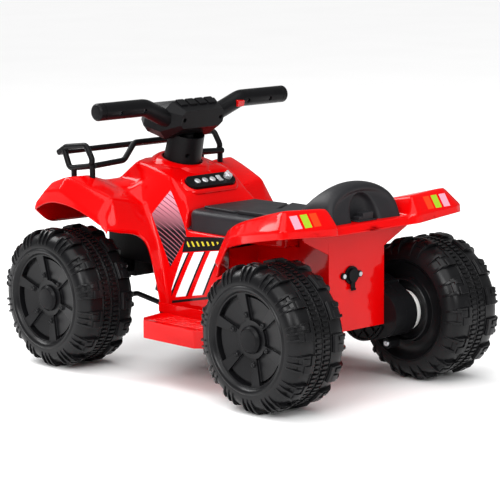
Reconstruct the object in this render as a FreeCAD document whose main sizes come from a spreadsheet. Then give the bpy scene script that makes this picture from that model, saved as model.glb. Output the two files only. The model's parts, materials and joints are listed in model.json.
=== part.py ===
import FreeCAD, Part
import math
import os
import types
import Sketcher

V = FreeCAD.Vector

# Driving dimensions in millimetres and degrees. X points forward, Y to the left, Z up from the floor.
SIZES = {
    "wheel_diameter": 210,
    "wheel_width": 104,
    "wheelbase": 444,
    "overall_width": 420,
    "body_width": 364,
    "body_height": 307,
    "floor_height": 98,
    "skin_wall": 3,
    "moulding_wall": 3,
    "axle_diameter": 10,
    "axle_end_inset": 11,
    "running_clearance": 0.05,
    "moving_gap": 0.3,
    "lug_angle": 11.6,
    "fan_angle": 34,
    "slot_angle": 35,
    "blow_hole_angle": 4.5,
    "hub_cap_diameter": 39,
    "hub_cap_height": 7,
    "hub_cap_chamfer": 4,
    "nut_flange_diameter": 24,
    "nut_across_corners": 18,
    "nut_flange_thickness": 1.8,
    "nut_height": 8,
    "seat_width": 149,
    "seat_thickness": 31,
    "seat_corner_radius": 16,
    "seat_edge_radius": 9,
    "seat_end_gap": 3,
    "rack_tube_diameter": 9,
    "floor_thickness": 14,
    "floor_width": 224,
    "bulkhead_width": 160,
    "footrest_width": 63,
    "footrest_height": 26,
    "footrest_drop": 4,
    "groove_width": 4,
    "groove_depth": 1.5,
    "flare_height": 24,
    "flare_reach": 30,
    "rear_flange_width": 220,
    "carrier_width": 120,
    "carrier_wall": 4,
    "post_width": 92,
    "kingpin_diameter": 10,
    "kingpin_offset": 38,
    "kingpin_boss_diameter": 26,
    "kingpin_boss_drop": 17,
    "kingpin_boss_height": 28,
    "kingpin_head_diameter": 16,
    "kingpin_head_height": 4,
    "ear_thickness": 8,
    "knuckle_web_thickness": 5,
    "knuckle_web_gap": 1,
    "stub_boss_diameter": 22,
    "steering_arm_length": 32,
    "steering_arm_width": 16,
    "arm_pin_diameter": 8,
    "arm_pin_length": 23,
    "tie_rod_diameter": 8,
    "tie_rod_eye_diameter": 16,
    "tie_rod_eye_height": 8,
    "tie_rod_drop": 8,
    "tie_rod_dip": 16.5,
    "crank_pin_diameter": 7,
    "crank_eye_diameter": 20,
    "crank_eye_bore": 12,
    "crank_thickness": 8,
    "crank_width": 12,
    "crank_pin_length": 12,
    "steering_rake": 16,
    "steering_rod_top": 60,
    "steering_bush_diameter": 62,
    "steering_bush_depth": 22,
    "column_diameter": 58,
    "column_top_diameter": 54,
    "column_height": 46,
    "bar_height": 95,
    "bar_rise": 23,
    "bar_span": 380,
    "bar_bend_radius": 30,
    "grip_diameter": 26,
    "grip_cap_length": 12,
    "pod_length": 80,
    "pod_width": 124,
    "screw_diameter": 3,
    "screw_head_diameter": 6.4,
    "screw_head_height": 2.5,
    "screw_boss_diameter": 9,
    "throttle_width": 13,
    "throttle_height": 9,
    "throttle_travel": 3,
    "throttle_stand_out": 3,
    "dash_length": 94,
    "dash_height": 26,
    "dash_thickness": 6,
    "dash_drop": 41,
    "dash_depth": 9,
    "button_diameter": 10,
    "button_length": 9,
    "button_travel": 1.5,
    "rocker_width": 8,
    "rocker_length": 13,
    "knob_diameter": 13,
    "gear_module": 1,
    "gear_backlash": 0.3,
    "pressure_angle": 20,
    "gear_line_angle": 8,
    "gearbox_radius": 34,
    "gearbox_drum_radius": 48,
    "gearbox_wheel_gap": 6,
    "idler_pin_diameter": 6,
    "drive_dog_diameter": 38,
    "axle_sleeve_diameter": 26,
    "motor_diameter": 28,
    "motor_length": 40,
    "motor_nose_diameter": 10,
    "motor_shaft_diameter": 3.2,
    "battery_length": 100,
    "battery_width": 70,
    "battery_height": 47,
    "board_width": 50,
    "board_height": 40,
    "board_thickness": 12,
    "speaker_diameter": 50,
    "speaker_depth": 18,
    "socket_diameter": 20,
    "socket_flange_diameter": 26,
    "socket_flange_height": 3,
    "socket_depth": 14,
    "socket_bore": 5.6,
    "socket_ear_diameter": 9.6,
    "socket_side_offset": 12,
    "cap_diameter": 19,
    "cap_thickness": 3.5,
    "cap_strap_length": 20,
    "cap_strap_width": 8,
    "lens_thickness": 4,
}

lug_count = 14
hub_pattern_count = 6
blow_hole_count = 4
groove_count = 5
pinion_teeth = 12
idler_wheel_teeth = 42
idler_pinion_teeth = 14
output_teeth = 56
flank_steps = 5

# Corners of the red body, left half: shares of half the wheelbase, half the body width and the body height.
BODY_SHARES = {
    "a": (0, [(1.315, 0, 0.517), (1.315, 0.247, 0.517), (1.302, 0.467, 0.522), (1.288, 0.604, 0.526),
              (1.275, 0.742, 0.531), (1.261, 0.835, 0.536)]),
    "b": (0, [(1.288, 0, 0.756), (1.288, 0.247, 0.756), (1.279, 0.467, 0.756), (1.27, 0.604, 0.756),
              (1.261, 0.747, 0.751), (1.243, 0.879, 0.732), (1.248, 0.967, 0.689), (1.257, 0.978, 0.646)]),
    "c": (0, [(1.126, 0, 0.813), (1.126, 0.247, 0.813), (1.126, 0.44, 0.818), (1.131, 0.577, 0.833),
              (1.131, 0.742, 0.856), (1.126, 0.907, 0.847), (1.122, 0.989, 0.794), (1.113, 1, 0.708)]),
    "d": (0, [(0.968, 0, 0.847), (0.964, 0.231, 0.852), (0.946, 0.363, 0.852), (0.901, 0.538, 0.856),
              (0.928, 0.714, 0.904), (0.955, 0.923, 0.904), (0.955, 0.995, 0.813), (0.977, 1, 0.727)]),
    "e": (0, [(0.82, 0, 1), (0.82, 0.209, 1), (0.797, 0.319, 0.986), (0.676, 0.396, 0.856),
              (0.707, 0.516, 0.78), (0.757, 0.692, 0.856), (0.775, 0.89, 0.856), (0.766, 0.989, 0.732),
              (0.748, 0.995, 0.694)]),
    "f": (0, [(0.631, 0, 0.971), (0.631, 0.209, 0.971), (0.608, 0.335, 0.957), (0.563, 0.5, 0.703),
              (0.559, 0.67, 0.751), (0.559, 0.841, 0.78), (0.577, 0.962, 0.636), (0.554, 0.967, 0.598)]),
    "g": (0, [(0.505, 0, 0.951), (0.505, 0.231, 0.951), (0.437, 0.335, 0.904), (0.505, 0.5, 0.617),
              (0.468, 0.659, 0.526), (0.495, 0.824, 0.541), (0.518, 0.94, 0.569), (0.514, 0.945, 0.545)]),
    "h": (0, [(0.297, 0, 0.809), (0.297, 0.22, 0.809), (0.288, 0.352, 0.77)]),
    "i": (0, [(0.257, 0, 0.708), (0.248, 0.22, 0.703), (0.212, 0.39, 0.684)]),
    "j": (0, [(0.257, 0, 0.555), (0.248, 0.22, 0.555), (0.203, 0.429, 0.555)]),
    "k": (0, [(0, 0, 0.555), (0, 0.22, 0.555), (0, 0.44, 0.555)]),
    "l": (1, [(-0.279, 0.22, 0.555), (-0.279, 0.451, 0.555), (-0.324, 0.505, 0.627), (-0.419, 0.67, 0.646),
              (-0.559, 0.824, 0.636), (-0.532, 0.813, 0.56)]),
    "m": (0, [(-0.505, 0, 0.555), (-0.505, 0.22, 0.555), (-0.505, 0.451, 0.555), (-0.505, 0.478, 0.699),
              (-0.541, 0.72, 0.718)]),
    "n": (0, [(-0.748, 0, 0.555), (-0.748, 0.22, 0.555), (-0.748, 0.44, 0.555)]),
    "o": (0, [(-0.761, 0, 0.732), (-0.761, 0.22, 0.732), (-0.761, 0.44, 0.732), (-0.748, 0.462, 0.775),
              (-0.766, 0.808, 0.785), (-0.784, 0.945, 0.684), (-0.784, 0.945, 0.627)]),
    "p": (0, [(-0.928, 0, 0.732), (-0.928, 0.22, 0.732), (-0.928, 0.44, 0.732), (-0.928, 0.462, 0.818),
              (-0.928, 0.852, 0.833), (-0.964, 1, 0.727), (-0.977, 1, 0.67)]),
    "q": (0, [(-1.185, 0, 0.732), (-1.185, 0.22, 0.732), (-1.185, 0.407, 0.732), (-1.153, 0.473, 0.866),
              (-1.126, 0.896, 0.885), (-1.198, 1, 0.766), (-1.203, 1, 0.713)]),
    "r": (0, [(-1.194, 0, 0.675), (-1.194, 0.22, 0.675), (-1.194, 0.401, 0.675), (-1.23, 0.445, 0.746),
              (-1.234, 0.445, 0.684)]),
    "s": (1, [(-0.387, 0.714, 0.536), (-0.36, 0.747, 0.431), (-0.405, 0.78, 0.34), (-0.45, 0.802, 0.426)]),
    "u": (1, [(-0.279, 0.478, 0.512), (-0.297, 0.527, 0.344), (-0.315, 0.544, 0.177), (-0.333, 0.549, 0)]),
    "v": (1, [(0, 0.467, 0.512), (-0.018, 0.505, 0.344), (-0.036, 0.533, 0.177), (-0.054, 0.549, 0)]),
    "w": (1, [(0.216, 0.462, 0.512), (0.189, 0.5, 0.344), (0.162, 0.527, 0.177), (0.135, 0.549, 0)]),
    "x": (1, [(0.423, 0.505, 0.478), (0.374, 0.516, 0.354), (0.324, 0.533, 0.191), (0.275, 0.549, 0)]),
    "y": (1, [(0.419, 0.604, 0.45), (0.383, 0.604, 0.335), (0.333, 0.604, 0.172), (0.297, 0.604, 0)]),
}

# Runs of cells between rows of corners. A repeated corner closes a cell to a triangle.
BODY_STRIPS = [
    ["a0 a1 a2 a3 a4 a5", "b0 b1 b2 b3 b4 b5"],
    ["a5 a5 a5", "b5 b6 b7"],
    ["b0 b1 b2 b3 b4 b5 b6 b7", "c0 c1 c2 c3 c4 c5 c6 c7", "d0 d1 d2 d3 d4 d5 d6 d7"],
    ["d0 d1 d2", "e0 e1 e2", "f0 f1 f2"],
    ["d2 d2", "e2 e3", "f2 f2"],
    ["d2 d3", "e3 e4"],
    ["d3 d4 d5 d6 d7", "e4 e5 e6 e7 e8"],
    ["e3 e4 e5 e6 e7 e8", "f2 f3 f4 f5 f6 f7"],
    ["f0 f1 f2 f3 f4 f5 f6 f7", "g0 g1 g2 g3 g4 g5 g6 g7"],
    ["g0 g1 g2 g3", "h0 h1 h2 x1", "i0 i1 i2 w1"],
    ["g3 g4", "x1 y1", "x2 y2", "x3 y3", "x4 y4"],
    ["i0 i1 i2", "j0 j1 j2", "k0 k1 k2"],
    ["i2 w1", "j2 w1"],
    ["l2 k2 j2", "u1 v1 w1"],
    ["u1 v1 w1 x1", "u2 v2 w2 x2", "u3 v3 w3 x3", "u4 v4 w4 x4"],
    ["k1 k2", "l1 l2", "m1 m2"],
    ["m0 m1 m2", "n0 n1 n2", "o0 o1 o2"],
    ["l2 l3 l4", "m2 m3 m4"],
    ["l4 l5", "m4 l5"],
    ["m3 m4 l5 l6", "o3 o4 o5 o6"],
    ["m2 m3", "n2 o2"],
    ["m3 m3", "o2 o3"],
    ["o0 o1 o2 o3 o4 o5 o6", "p0 p1 p2 p3 p4 p5 p6", "q0 q1 q2 q3 q4 q5 q6"],
    ["q0 q1 q2", "r0 r1 r2"],
    ["q2 q3", "q2 r3"],
    ["q2 r3", "r2 r4"],
    ["q3 q4", "r3 q5"],
    ["r3 q5", "r4 q6"],
    ["l5 l4", "l6 s1", "s4 s2", "s3 s3"],
    ["l4 l3", "l4 l2"],
    ["l4 l2", "s1 u1", "s2 u2", "s3 u2"],
]

# Half section of a wheel: shares of the wheel radius and of half the wheel width, outer side positive.
hub_back_share, nut_seat_share, hub_face_share = 0.33, 0.6, 0.76
wheel_outer_shares = [(0.21, -hub_back_share), (0.324, -hub_back_share), (0.571, -0.36), (0.648, -0.957),
                      (0.705, -1), (0.81, -0.98), (0.895, -0.87), (0.933, -0.68), (0.943, -0.36),
                      (0.943, 0.36), (0.933, 0.68), (0.895, 0.87), (0.81, 0.98), (0.719, 1), (0.652, 0.962),
                      (0.635, 0.88), (0.24, hub_face_share), (0.133, hub_face_share), (0.133, nut_seat_share)]
wheel_cavity_shares = [(0.248, -0.25), (0.329, -0.25), (0.598, -0.283), (0.674, -0.885), (0.714, -0.923),
                       (0.802, -0.906), (0.872, -0.82), (0.902, -0.66), (0.91, -0.36), (0.91, 0.36),
                       (0.902, 0.66), (0.872, 0.82), (0.802, 0.906), (0.722, 0.923), (0.681, 0.9),
                       (0.662, 0.772), (0.248, 0.645)]
lug_shares = [(0.926, 0.3), (0.985, 0.34), (1, 0.42), (1, 0.78), (0.965, 0.945), (0.86, 0.99),
              (0.82, 0.95), (0.881, 0.84), (0.919, 0.62)]
fan_shares = [(0.26, 0.708), (0.57, 0.802), (0.57, 0.92), (0.26, 0.92)]
slot_shares = [(0.585, 0.81), (0.614, 0.818), (0.614, 0.92), (0.585, 0.92)]
blow_hole_shares = [(0.7, -1.02), (0.755, -1.02), (0.755, -0.86), (0.7, -0.86)]

# Seat outline: its front corners as shares of half the seat width, and how far each lies behind the front.
seat_nose_shares = [(0.51, 0), (1, 0.055)]

# Backrest sections: rear and front edge, half width and height in body shares, corner radius by depth.
backrest_shares = [(-1.162, -0.775, 0.385, 0.732, 0.2), (-1.135, -0.82, 0.365, 0.833, 0.26),
                   (-1.095, -0.878, 0.275, 0.918, 0.32), (-1.054, -0.937, 0.143, 0.976, 0.4)]
backrest_slot_shares = (-1.08, 0.074, 0.765, 0.9)
backrest_core_shares = (-1.03, -0.874, 0.264, 0.87)

# Front rack lines in body shares, left half.
rack_loop_shares = [(1.243, 0.714, 1.038), (1.162, 0.714, 1.086), (0.946, 0.714, 1.115),
                    (0.856, 0.714, 0.976), (1.126, 0.714, 0.933), (1.185, 0.714, 1.07)]
rack_saddle_shares = [(0.856, 0.714, 0.976), (0.856, 0.401, 0.99), (0.865, 0.275, 1.11)]
knot_share = 1.25
knee_share = 1.04
rack_post_shares = [(1.081, 0.714, 0.942), (0.883, 0.714, 0.976), (0.873, 0.53, 0.983)]

# Rear box side section and other positions along the body, in body shares.
box_rear_share, box_step_share, box_front_share = -1.041, -0.777, -0.387
box_side_share = 0.5283
box_floor_share, box_top_share = -0.024, 0.716
flange_share, flange_top_share = -0.374, 0.512
floor_rear_share, floor_front_share, bulkhead_share = -0.374, 0.306, 0.27
carrier_front_share, post_rear_share = 1.099, 0.901
carrier_low_share, carrier_high_share = 0.249, 0.512
footrest_shares = [(-0.414, 0), (0.257, 0), (0.257, 0.127), (0.216, 0.762), (0.14, 1), (-0.35, 1),
                   (-0.414, 0.8)]
groove_end_shares, groove_side_shares = (-0.339, 0.126), (0.12, 0.92)
battery_share, speaker_shares, board_shares = -0.054, (0.22, 0.42), (-0.4, 0.3)
socket_height_share = 0.359
lens_shares = [(0.15, 0.25), (0.8, 0.85)]

# Pod sections: place along it, half width, low and high edge, as shares of pod length, width and bar height.
pod_shares = [(-0.35, 0.34, 0.695, 0.99), (0, 0.452, 0.421, 1.053), (0.4, 0.5, 0.442, 0.926),
              (0.65, 0.403, 0.505, 0.758)]
pod_chamfer_share = 0.22
bar_root_share, bar_knee_share = 0.237, 0.505
handlebar_screw_shares = [(0.79, 1), (0.55, 1), (-0.55, 1), (-0.79, 1), (0.19, 0.84), (-0.19, 0.84),
                          (0.07, 0.2)]
throttle_share, throttle_drop_share, switch_depth_share = -0.455, 0.12, 0.6
throttle_well_share, screw_hole_share, shank_share = 1.5, 0.75, 1.2
tie_rod_knee_share, tie_rod_dip_share = 0.42, 0.17
gearbox_screw_angles = (60, 125, 240, 300)
# Depths inside the gearbox as shares of its room: inner rest, first gear wheel, output gear, outer rest.
gear_stack_shares = (0.19, 0.22, 0.32, 0.095)
tooth_root_share = 1.25
dash_button_shares = (0.29, 0.13, -0.03)
rocker_share, knob_share = -0.18, -0.35
rocker_well_share, rocker_dip_share, knob_bar_share = 0.3, 0.4, 0.4
socket_ear_share = 0.62


class Length:
    """A dimension that knows both its spreadsheet formula and its value."""

    def __init__(self, text, value):
        self.text = text
        self.value = value

    def __add__(self, other):
        return Length(f"{self.text} + {other.text}", self.value + other.value)

    def __sub__(self, other):
        return Length(f"{self.text} - ({other.text})", self.value - other.value)

    def __mul__(self, share):
        return Length(f"({self.text}) * {share}", self.value * share)

    def __truediv__(self, share):
        return Length(f"({self.text}) / {share}", self.value / share)

    def __neg__(self):
        return Length(f"-({self.text})", -self.value)


doc = FreeCAD.newDocument("kids_quad_bike")
sheet = doc.addObject("Spreadsheet::Sheet", "sizes")
for row, (name, value) in enumerate(SIZES.items(), start=1):
    sheet.set(f"A{row}", name)
    sheet.set(f"B{row}", str(value))
    sheet.setAlias(f"B{row}", name)
doc.recompute()

d = types.SimpleNamespace(**{name: float(sheet.get(name)) for name in SIZES})
s = types.SimpleNamespace(**{name: Length(f"sizes.{name}", float(sheet.get(name))) for name in SIZES})
ZERO = Length("0", 0)
nodes = []


def along_body(share):
    return s.wheelbase / 2 * share


def across_body(share):
    return s.body_width / 2 * share


def up_body(share):
    return s.floor_height + (s.body_height - s.floor_height) * share


def body_point(shares):
    return V(along_body(shares[0]).value, across_body(shares[1]).value, up_body(shares[2]).value)


half_track = (s.overall_width - s.wheel_width) / 2
axle_height = s.wheel_diameter / 2
axle_x = s.wheelbase / 2
kingpin_y = half_track - s.kingpin_offset
wheel_inside = s.overall_width / 2 - s.wheel_width
hub_back = half_track - s.wheel_width / 2 * hub_back_share
box_side = wheel_inside * box_side_share
gearbox_depth = wheel_inside - s.gearbox_wheel_gap - box_side
throttle_well = (d.throttle_travel + d.throttle_stand_out) * throttle_well_share


def bind(obj, values):
    for prop, length in values.items():
        obj.setExpression(prop, length.text)


def place(obj, point):
    bind(obj, {f"Placement.Base.{axis}": value for axis, value in zip("xyz", point)})


def keep(obj, label):
    obj.Label = label
    nodes.append(obj)
    return obj


def block(size, corner, name="block"):
    obj = doc.addObject("Part::Box", name)
    bind(obj, dict(zip(("Length", "Width", "Height"), size)))
    place(obj, corner)
    return obj


def rod(radius, length, start, axis="z", name="rod"):
    obj = doc.addObject("Part::Cylinder", name)
    turns = {"x": FreeCAD.Rotation(V(0, 1, 0), 90), "y": FreeCAD.Rotation(V(1, 0, 0), -90)}
    obj.Placement = FreeCAD.Placement(V(), turns.get(axis, FreeCAD.Rotation()))
    bind(obj, {"Radius": radius, "Height": length})
    place(obj, start)
    return obj


def joined(shapes, name="joined"):
    obj = doc.addObject("Part::MultiFuse", name)
    obj.Shapes = shapes
    return obj


def less(base, tools, name="less"):
    obj = doc.addObject("Part::Cut", name)
    obj.Base = base
    obj.Tool = tools[0] if len(tools) == 1 else joined(tools)
    return obj


def mirrored(source, label):
    obj = doc.addObject("Part::Mirroring", label)
    obj.Source = source
    obj.Normal = V(0, 1, 0)
    return keep(obj, label)


def copied(source, label, step):
    obj = doc.addObject("Part::Compound", label)
    obj.Links = [source]
    place(obj, step)
    return keep(obj, label)


def solid_feature(shape, label, placement=None):
    obj = doc.addObject("Part::Feature", label)
    obj.Shape = shape
    if placement is not None:
        obj.Placement = placement
    return keep(obj, label)


def sketch_on(body, role, loops, offset=None):
    sketch = body.newObject("Sketcher::SketchObject", "profile")
    plane = [feature for feature in body.Origin.OriginFeatures if feature.Role == role][0]
    sketch.AttachmentSupport = (plane, "")
    sketch.MapMode = "FlatFace"
    if offset is not None:
        bind(sketch, {"AttachmentOffset.Base.z": offset})
    for loop in loops:
        first = sketch.GeometryCount
        spots = [V(x.value, y.value, 0) for x, y in loop]
        for start, end in zip(spots, spots[1:] + spots[:1]):
            sketch.addGeometry(Part.LineSegment(start, end), False)
        for i in range(len(loop)):
            after = first + (i + 1) % len(loop)
            sketch.addConstraint(Sketcher.Constraint("Coincident", first + i, 2, after, 1))
        for i, (x, y) in enumerate(loop):
            for kind, length in (("DistanceX", x), ("DistanceY", y)):
                rule = Sketcher.Constraint(kind, -1, 1, first + i, 1, length.value)
                bind(sketch, {f"Constraints[{sketch.addConstraint(rule)}]": length})
    return sketch


def turned(body, kind, sketch, angle=None):
    feature = body.newObject(f"PartDesign::{kind}", kind.lower())
    feature.Profile = sketch
    feature.ReferenceAxis = (sketch, ["V_Axis"])
    feature.Angle = 360
    if angle is not None:
        bind(feature, {"Angle": angle})
    sketch.Visibility = False
    return feature


def around(body, feature, sketch, count):
    pattern = body.newObject("PartDesign::PolarPattern", "pattern")
    pattern.Originals = [feature]
    pattern.Axis = (sketch, ["V_Axis"])
    pattern.Angle = 360
    body.Tip = pattern
    pattern.Occurrences = count
    doc.recompute()
    return pattern


def grown(body, kind, sketch, length, reverse=False):
    feature = body.newObject(f"PartDesign::{kind}", kind.lower())
    feature.Profile = sketch
    feature.Reversed = reverse
    bind(feature, {"Length": length})
    return feature


def prism(points, direction):
    return Part.Face(Part.makePolygon(points + points[:1])).extrude(direction)


def tube(points, radius, bend):
    edges = []
    start = points[0]
    for before, knee, after in zip(points, points[1:], points[2:]):
        back = (before - knee).normalize()
        ahead = (after - knee).normalize()
        half = back.getAngle(ahead) / 2
        inward = (back + ahead).normalize()
        entry = knee + back * (bend / math.tan(half))
        leave = knee + ahead * (bend / math.tan(half))
        middle = knee + inward * (bend / math.sin(half) - bend)
        edges.append(Part.makeLine(start, entry))
        edges.append(Part.Arc(entry, middle, leave).toShape())
        start = leave
    edges.append(Part.makeLine(start, points[-1]))
    section = Part.Wire(Part.makeCircle(radius, points[0], points[1] - points[0]))
    pipe = Part.Wire(edges).makePipeShell([section], True, True)
    return pipe if pipe.Volume > 0 else pipe.reversed()


def rounded_rectangle(x_low, x_high, half_width, z, radius):
    corners = [V(x_low, -half_width, z), V(x_high, -half_width, z), V(x_high, half_width, z),
               V(x_low, half_width, z)]
    edges = []
    last = None
    for i, corner in enumerate(corners):
        back = (corners[i - 1] - corner).normalize()
        ahead = (corners[(i + 1) % len(corners)] - corner).normalize()
        entry = corner + back * radius
        leave = corner + ahead * radius
        middle = corner + (back + ahead) * (radius * (1 - math.sqrt(0.5)))
        if last is not None:
            edges.append(Part.makeLine(last, entry))
        edges.append(Part.Arc(entry, middle, leave).toShape())
        last = leave
    edges.append(Part.makeLine(last, edges[0].Vertexes[0].Point))
    return Part.Wire(edges)


def body_corners():
    corners = {}
    for row, (first, shares) in BODY_SHARES.items():
        for i, share in enumerate(shares, start=first):
            corners[f"{row}{i}"] = body_point(share)
            corners[f"{row}{i} right"] = body_point((share[0], -share[1], share[2]))
    return corners


def right_name(name):
    row, index = name[0], int(name[1:])
    first, shares = BODY_SHARES[row]
    return name if shares[index - first][1] == 0 else f"{name} right"


def body_cells():
    cells = []
    for strip in BODY_STRIPS:
        rows = [names.split() for names in strip]
        for near, far in zip(rows, rows[1:]):
            for i in range(len(near) - 1):
                cell = list(dict.fromkeys((near[i], near[i + 1], far[i + 1], far[i])))
                if len(cell) > 2:
                    cells.append(cell)
                    cells.append([right_name(name) for name in reversed(cell)])
    return cells


def cell_normal(points):
    middle = sum(points, V()) / len(points)
    turn = V()
    for start, end in zip(points, points[1:] + points[:1]):
        turn += (start - middle).cross(end - middle)
    return turn.normalize()


def flat_faces(points):
    normal = cell_normal(points)
    if len(points) == 3 or all(abs((point - points[0]).dot(normal)) < 1e-7 for point in points):
        return [Part.Face(Part.makePolygon(points + points[:1]))]
    if (points[0] - points[2]).Length > (points[1] - points[3]).Length:
        points = points[1:] + points[:1]
    halves = (points[:3], [points[0], points[2], points[3]])
    return [Part.Face(Part.makePolygon(half + half[:1])) for half in halves]


def skin_solid(corners, cells, wall, level):
    normals = {}
    for cell in cells:
        points = [corners[name] for name in cell]
        for i, name in enumerate(cell):
            ahead = points[(i + 1) % len(points)] - points[i]
            back = points[i - 1] - points[i]
            normals.setdefault(name, []).append((cell_normal(points), ahead.getAngle(back)))
    inner = {}
    for name, around_corner in normals.items():
        mean = sum((normal * angle for normal, angle in around_corner), V())
        if abs(corners[name].z - level) < 1e-7:
            mean.z = 0
        mean.normalize()
        lean = min(mean.dot(normal) for normal, angle in around_corner)
        inner[name] = corners[name] - mean * (wall / max(lean, 2 / 3))
    edges = {pair for cell in cells for pair in zip(cell, cell[1:] + cell[:1])}
    faces = []
    for cell in cells:
        faces += flat_faces([corners[name] for name in cell])
        faces += flat_faces([inner[name] for name in reversed(cell)])
    for start, end in sorted(edges):
        if (end, start) not in edges:
            faces += flat_faces([corners[end], corners[start], inner[start], inner[end]])
    shell = Part.Shell(faces)
    shell.sewShape()
    solid = Part.Solid(shell)
    return solid if solid.Volume > 0 else solid.reversed()


column_base = body_point(BODY_SHARES["f"][1][0])
column_frame = FreeCAD.Placement(column_base, FreeCAD.Rotation(V(0, 1, 0), -d.steering_rake))
dash_top = body_point(BODY_SHARES["g"][1][0])
dash_foot = body_point(BODY_SHARES["h"][1][0])
dash_down = (dash_foot - dash_top).normalize()
dash_normal = V(0, 1, 0).cross(dash_down)
dash_turn = FreeCAD.Rotation(V(0, 1, 0).cross(dash_normal), V(0, 1, 0), dash_normal, "ZYX")
dash_frame = FreeCAD.Placement(dash_top + dash_down * d.dash_drop, dash_turn)


def body_shell():
    skin = skin_solid(body_corners(), body_cells(), d.skin_wall, d.floor_height)
    hole_radius = d.steering_bush_diameter / 2 + d.moving_gap
    hole = Part.makeCylinder(hole_radius, d.column_height * 2, V(0, 0, -d.column_height))
    hole.Placement = column_frame
    slot_length = d.dash_length - d.dash_height + d.moving_gap * 2
    slot_height = d.dash_height / 2 + d.moving_gap * 2
    slot = Part.makeBox(slot_height, slot_length, d.dash_depth * 2,
                        V(-slot_height / 2, -slot_length / 2, -d.dash_depth))
    slot.Placement = dash_frame
    return solid_feature(skin.cut([hole, slot]), "body_shell")


def seat():
    front = along_body(BODY_SHARES["j"][1][0][0]).value - d.seat_end_gap
    rear = along_body(BODY_SHARES["n"][1][0][0]).value + d.seat_end_gap
    base = up_body(BODY_SHARES["j"][1][0][2]).value
    half = d.seat_width / 2
    nose = [V(front - along_body(back).value, half * share, base) for share, back in seat_nose_shares]
    left = nose + [V(rear, half, base)]
    outline = left + [V(point.x, -point.y, point.z) for point in reversed(left)]
    pad = prism(outline, V(0, 0, d.seat_thickness))
    upright = [edge for edge in pad.Edges if abs(edge.tangentAt(0).z) > 0.9]
    pad = pad.makeFillet(d.seat_corner_radius, upright)
    top = [edge for edge in pad.Edges if edge.BoundBox.ZMin > base + d.seat_thickness * 0.9]
    pad = pad.makeFillet(d.seat_edge_radius, top)
    depth = d.seat_thickness - d.moulding_wall * 2
    inset = d.seat_corner_radius
    core = Part.makeBox(front - rear - inset * 2.5, d.seat_width - inset * 2, depth,
                        V(rear + inset, -half + inset, base))
    return solid_feature(pad.cut(core), "seat")


def backrest():
    wires = []
    for rear, front, width, height, radius in backrest_shares:
        x_low, x_high = along_body(rear).value, along_body(front).value
        wires.append(rounded_rectangle(x_low, x_high, across_body(width).value, up_body(height).value,
                                       radius * (x_high - x_low)))
    cushion = Part.makeLoft(wires, True, True)
    rear, width, low, high = backrest_slot_shares
    x_rear = along_body(backrest_shares[0][0]).value
    half = across_body(width).value
    slot = Part.makeBox(along_body(rear).value - x_rear, half * 2, up_body(high).value - up_body(low).value,
                        V(x_rear, -half, up_body(low).value))
    rear, front, width, high = backrest_core_shares
    base = up_body(backrest_shares[0][3]).value
    half = across_body(width).value
    x_low, x_high = along_body(rear).value, along_body(front).value
    core = Part.makeBox(x_high - x_low, half * 2, up_body(high).value - base, V(x_low, -half, base))
    return solid_feature(cushion.cut([slot, core]), "backrest")


def bent_rods(points, radius):
    pieces = [Part.makeCylinder(radius, (b - a).Length, a, b - a) for a, b in zip(points, points[1:])]
    return pieces + [Part.makeSphere(radius * knee_share, point) for point in points[1:-1]]


def front_rack(shell):
    radius = d.rack_tube_diameter / 2
    left = bent_rods([body_point(share) for share in rack_loop_shares], radius)
    for share in rack_post_shares:
        top = body_point(share)
        post = Part.makeCylinder(radius, d.body_height, top - V(0, 0, d.body_height))
        ground = post.common(shell.Shape).BoundBox.ZMax
        left.append(Part.makeCylinder(radius, top.z - ground, V(top.x, top.y, ground)))
    for share in (rack_loop_shares[0], rack_loop_shares[-1], rack_saddle_shares[0]):
        left.append(Part.makeSphere(radius * knot_share, body_point(share)))
    right = [piece.mirror(V(), V(0, 1, 0)) for piece in left]
    rise = [body_point(share) for share in rack_saddle_shares]
    saddle = bent_rods(rise + [V(point.x, -point.y, point.z) for point in reversed(rise)], radius)
    tip = body_point(rack_loop_shares[0])
    bar = Part.makeCylinder(radius, tip.y * 2, V(tip.x, -tip.y, tip.z), V(0, 1, 0))
    return solid_feature(bar.fuse(saddle + left + right), "front_rack")


def pod_loft(inset):
    wires = []
    for i, (place_share, width, low, high) in enumerate(pod_shares):
        x = d.pod_length * place_share
        if i == 0:
            x += inset
        if i == len(pod_shares) - 1:
            x -= inset
        half = d.pod_width * width - inset
        bottom = d.bar_height * low + inset
        top = d.bar_height * high - inset
        cut = (top - bottom) * pod_chamfer_share
        ring = [V(x, half, bottom + cut), V(x, half, top - cut), V(x, half - cut, top), V(x, cut - half, top),
                V(x, -half, top - cut), V(x, -half, bottom + cut), V(x, cut - half, bottom),
                V(x, half - cut, bottom)]
        wires.append(Part.makePolygon(ring + ring[:1]))
    return Part.makeLoft(wires, True, True)


def bar_form(inset):
    pieces = [pod_loft(inset)]
    half_span = d.bar_span / 2
    end = half_span - d.grip_cap_length
    for side in (1, -1):
        line = [V(0, side * half_span * bar_root_share, d.bar_height - d.bar_rise),
                V(0, side * half_span * bar_knee_share, d.bar_height), V(0, side * end, d.bar_height)]
        pieces.append(tube(line, d.grip_diameter / 2 - inset, d.bar_bend_radius))
    pieces.append(Part.makeCone(d.column_diameter / 2 - inset, d.column_top_diameter / 2 - inset,
                                d.column_height, V(0, 0, d.moving_gap * 2 + inset)))
    return pieces[0].fuse(pieces[1:])


def screw_spots():
    half_span = d.bar_span / 2
    return [V(0, half_span * across, d.bar_height * up) for across, up in handlebar_screw_shares]


def throttle_box(x_low, x_high, margin):
    y = d.bar_span / 2 * throttle_share
    width = d.throttle_width + margin * 2
    height = d.throttle_height + margin * 2
    z = d.bar_height - d.bar_rise * throttle_drop_share
    return Part.makeBox(x_high - x_low, width, height, V(x_low, y - width / 2, z - height / 2))


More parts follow.
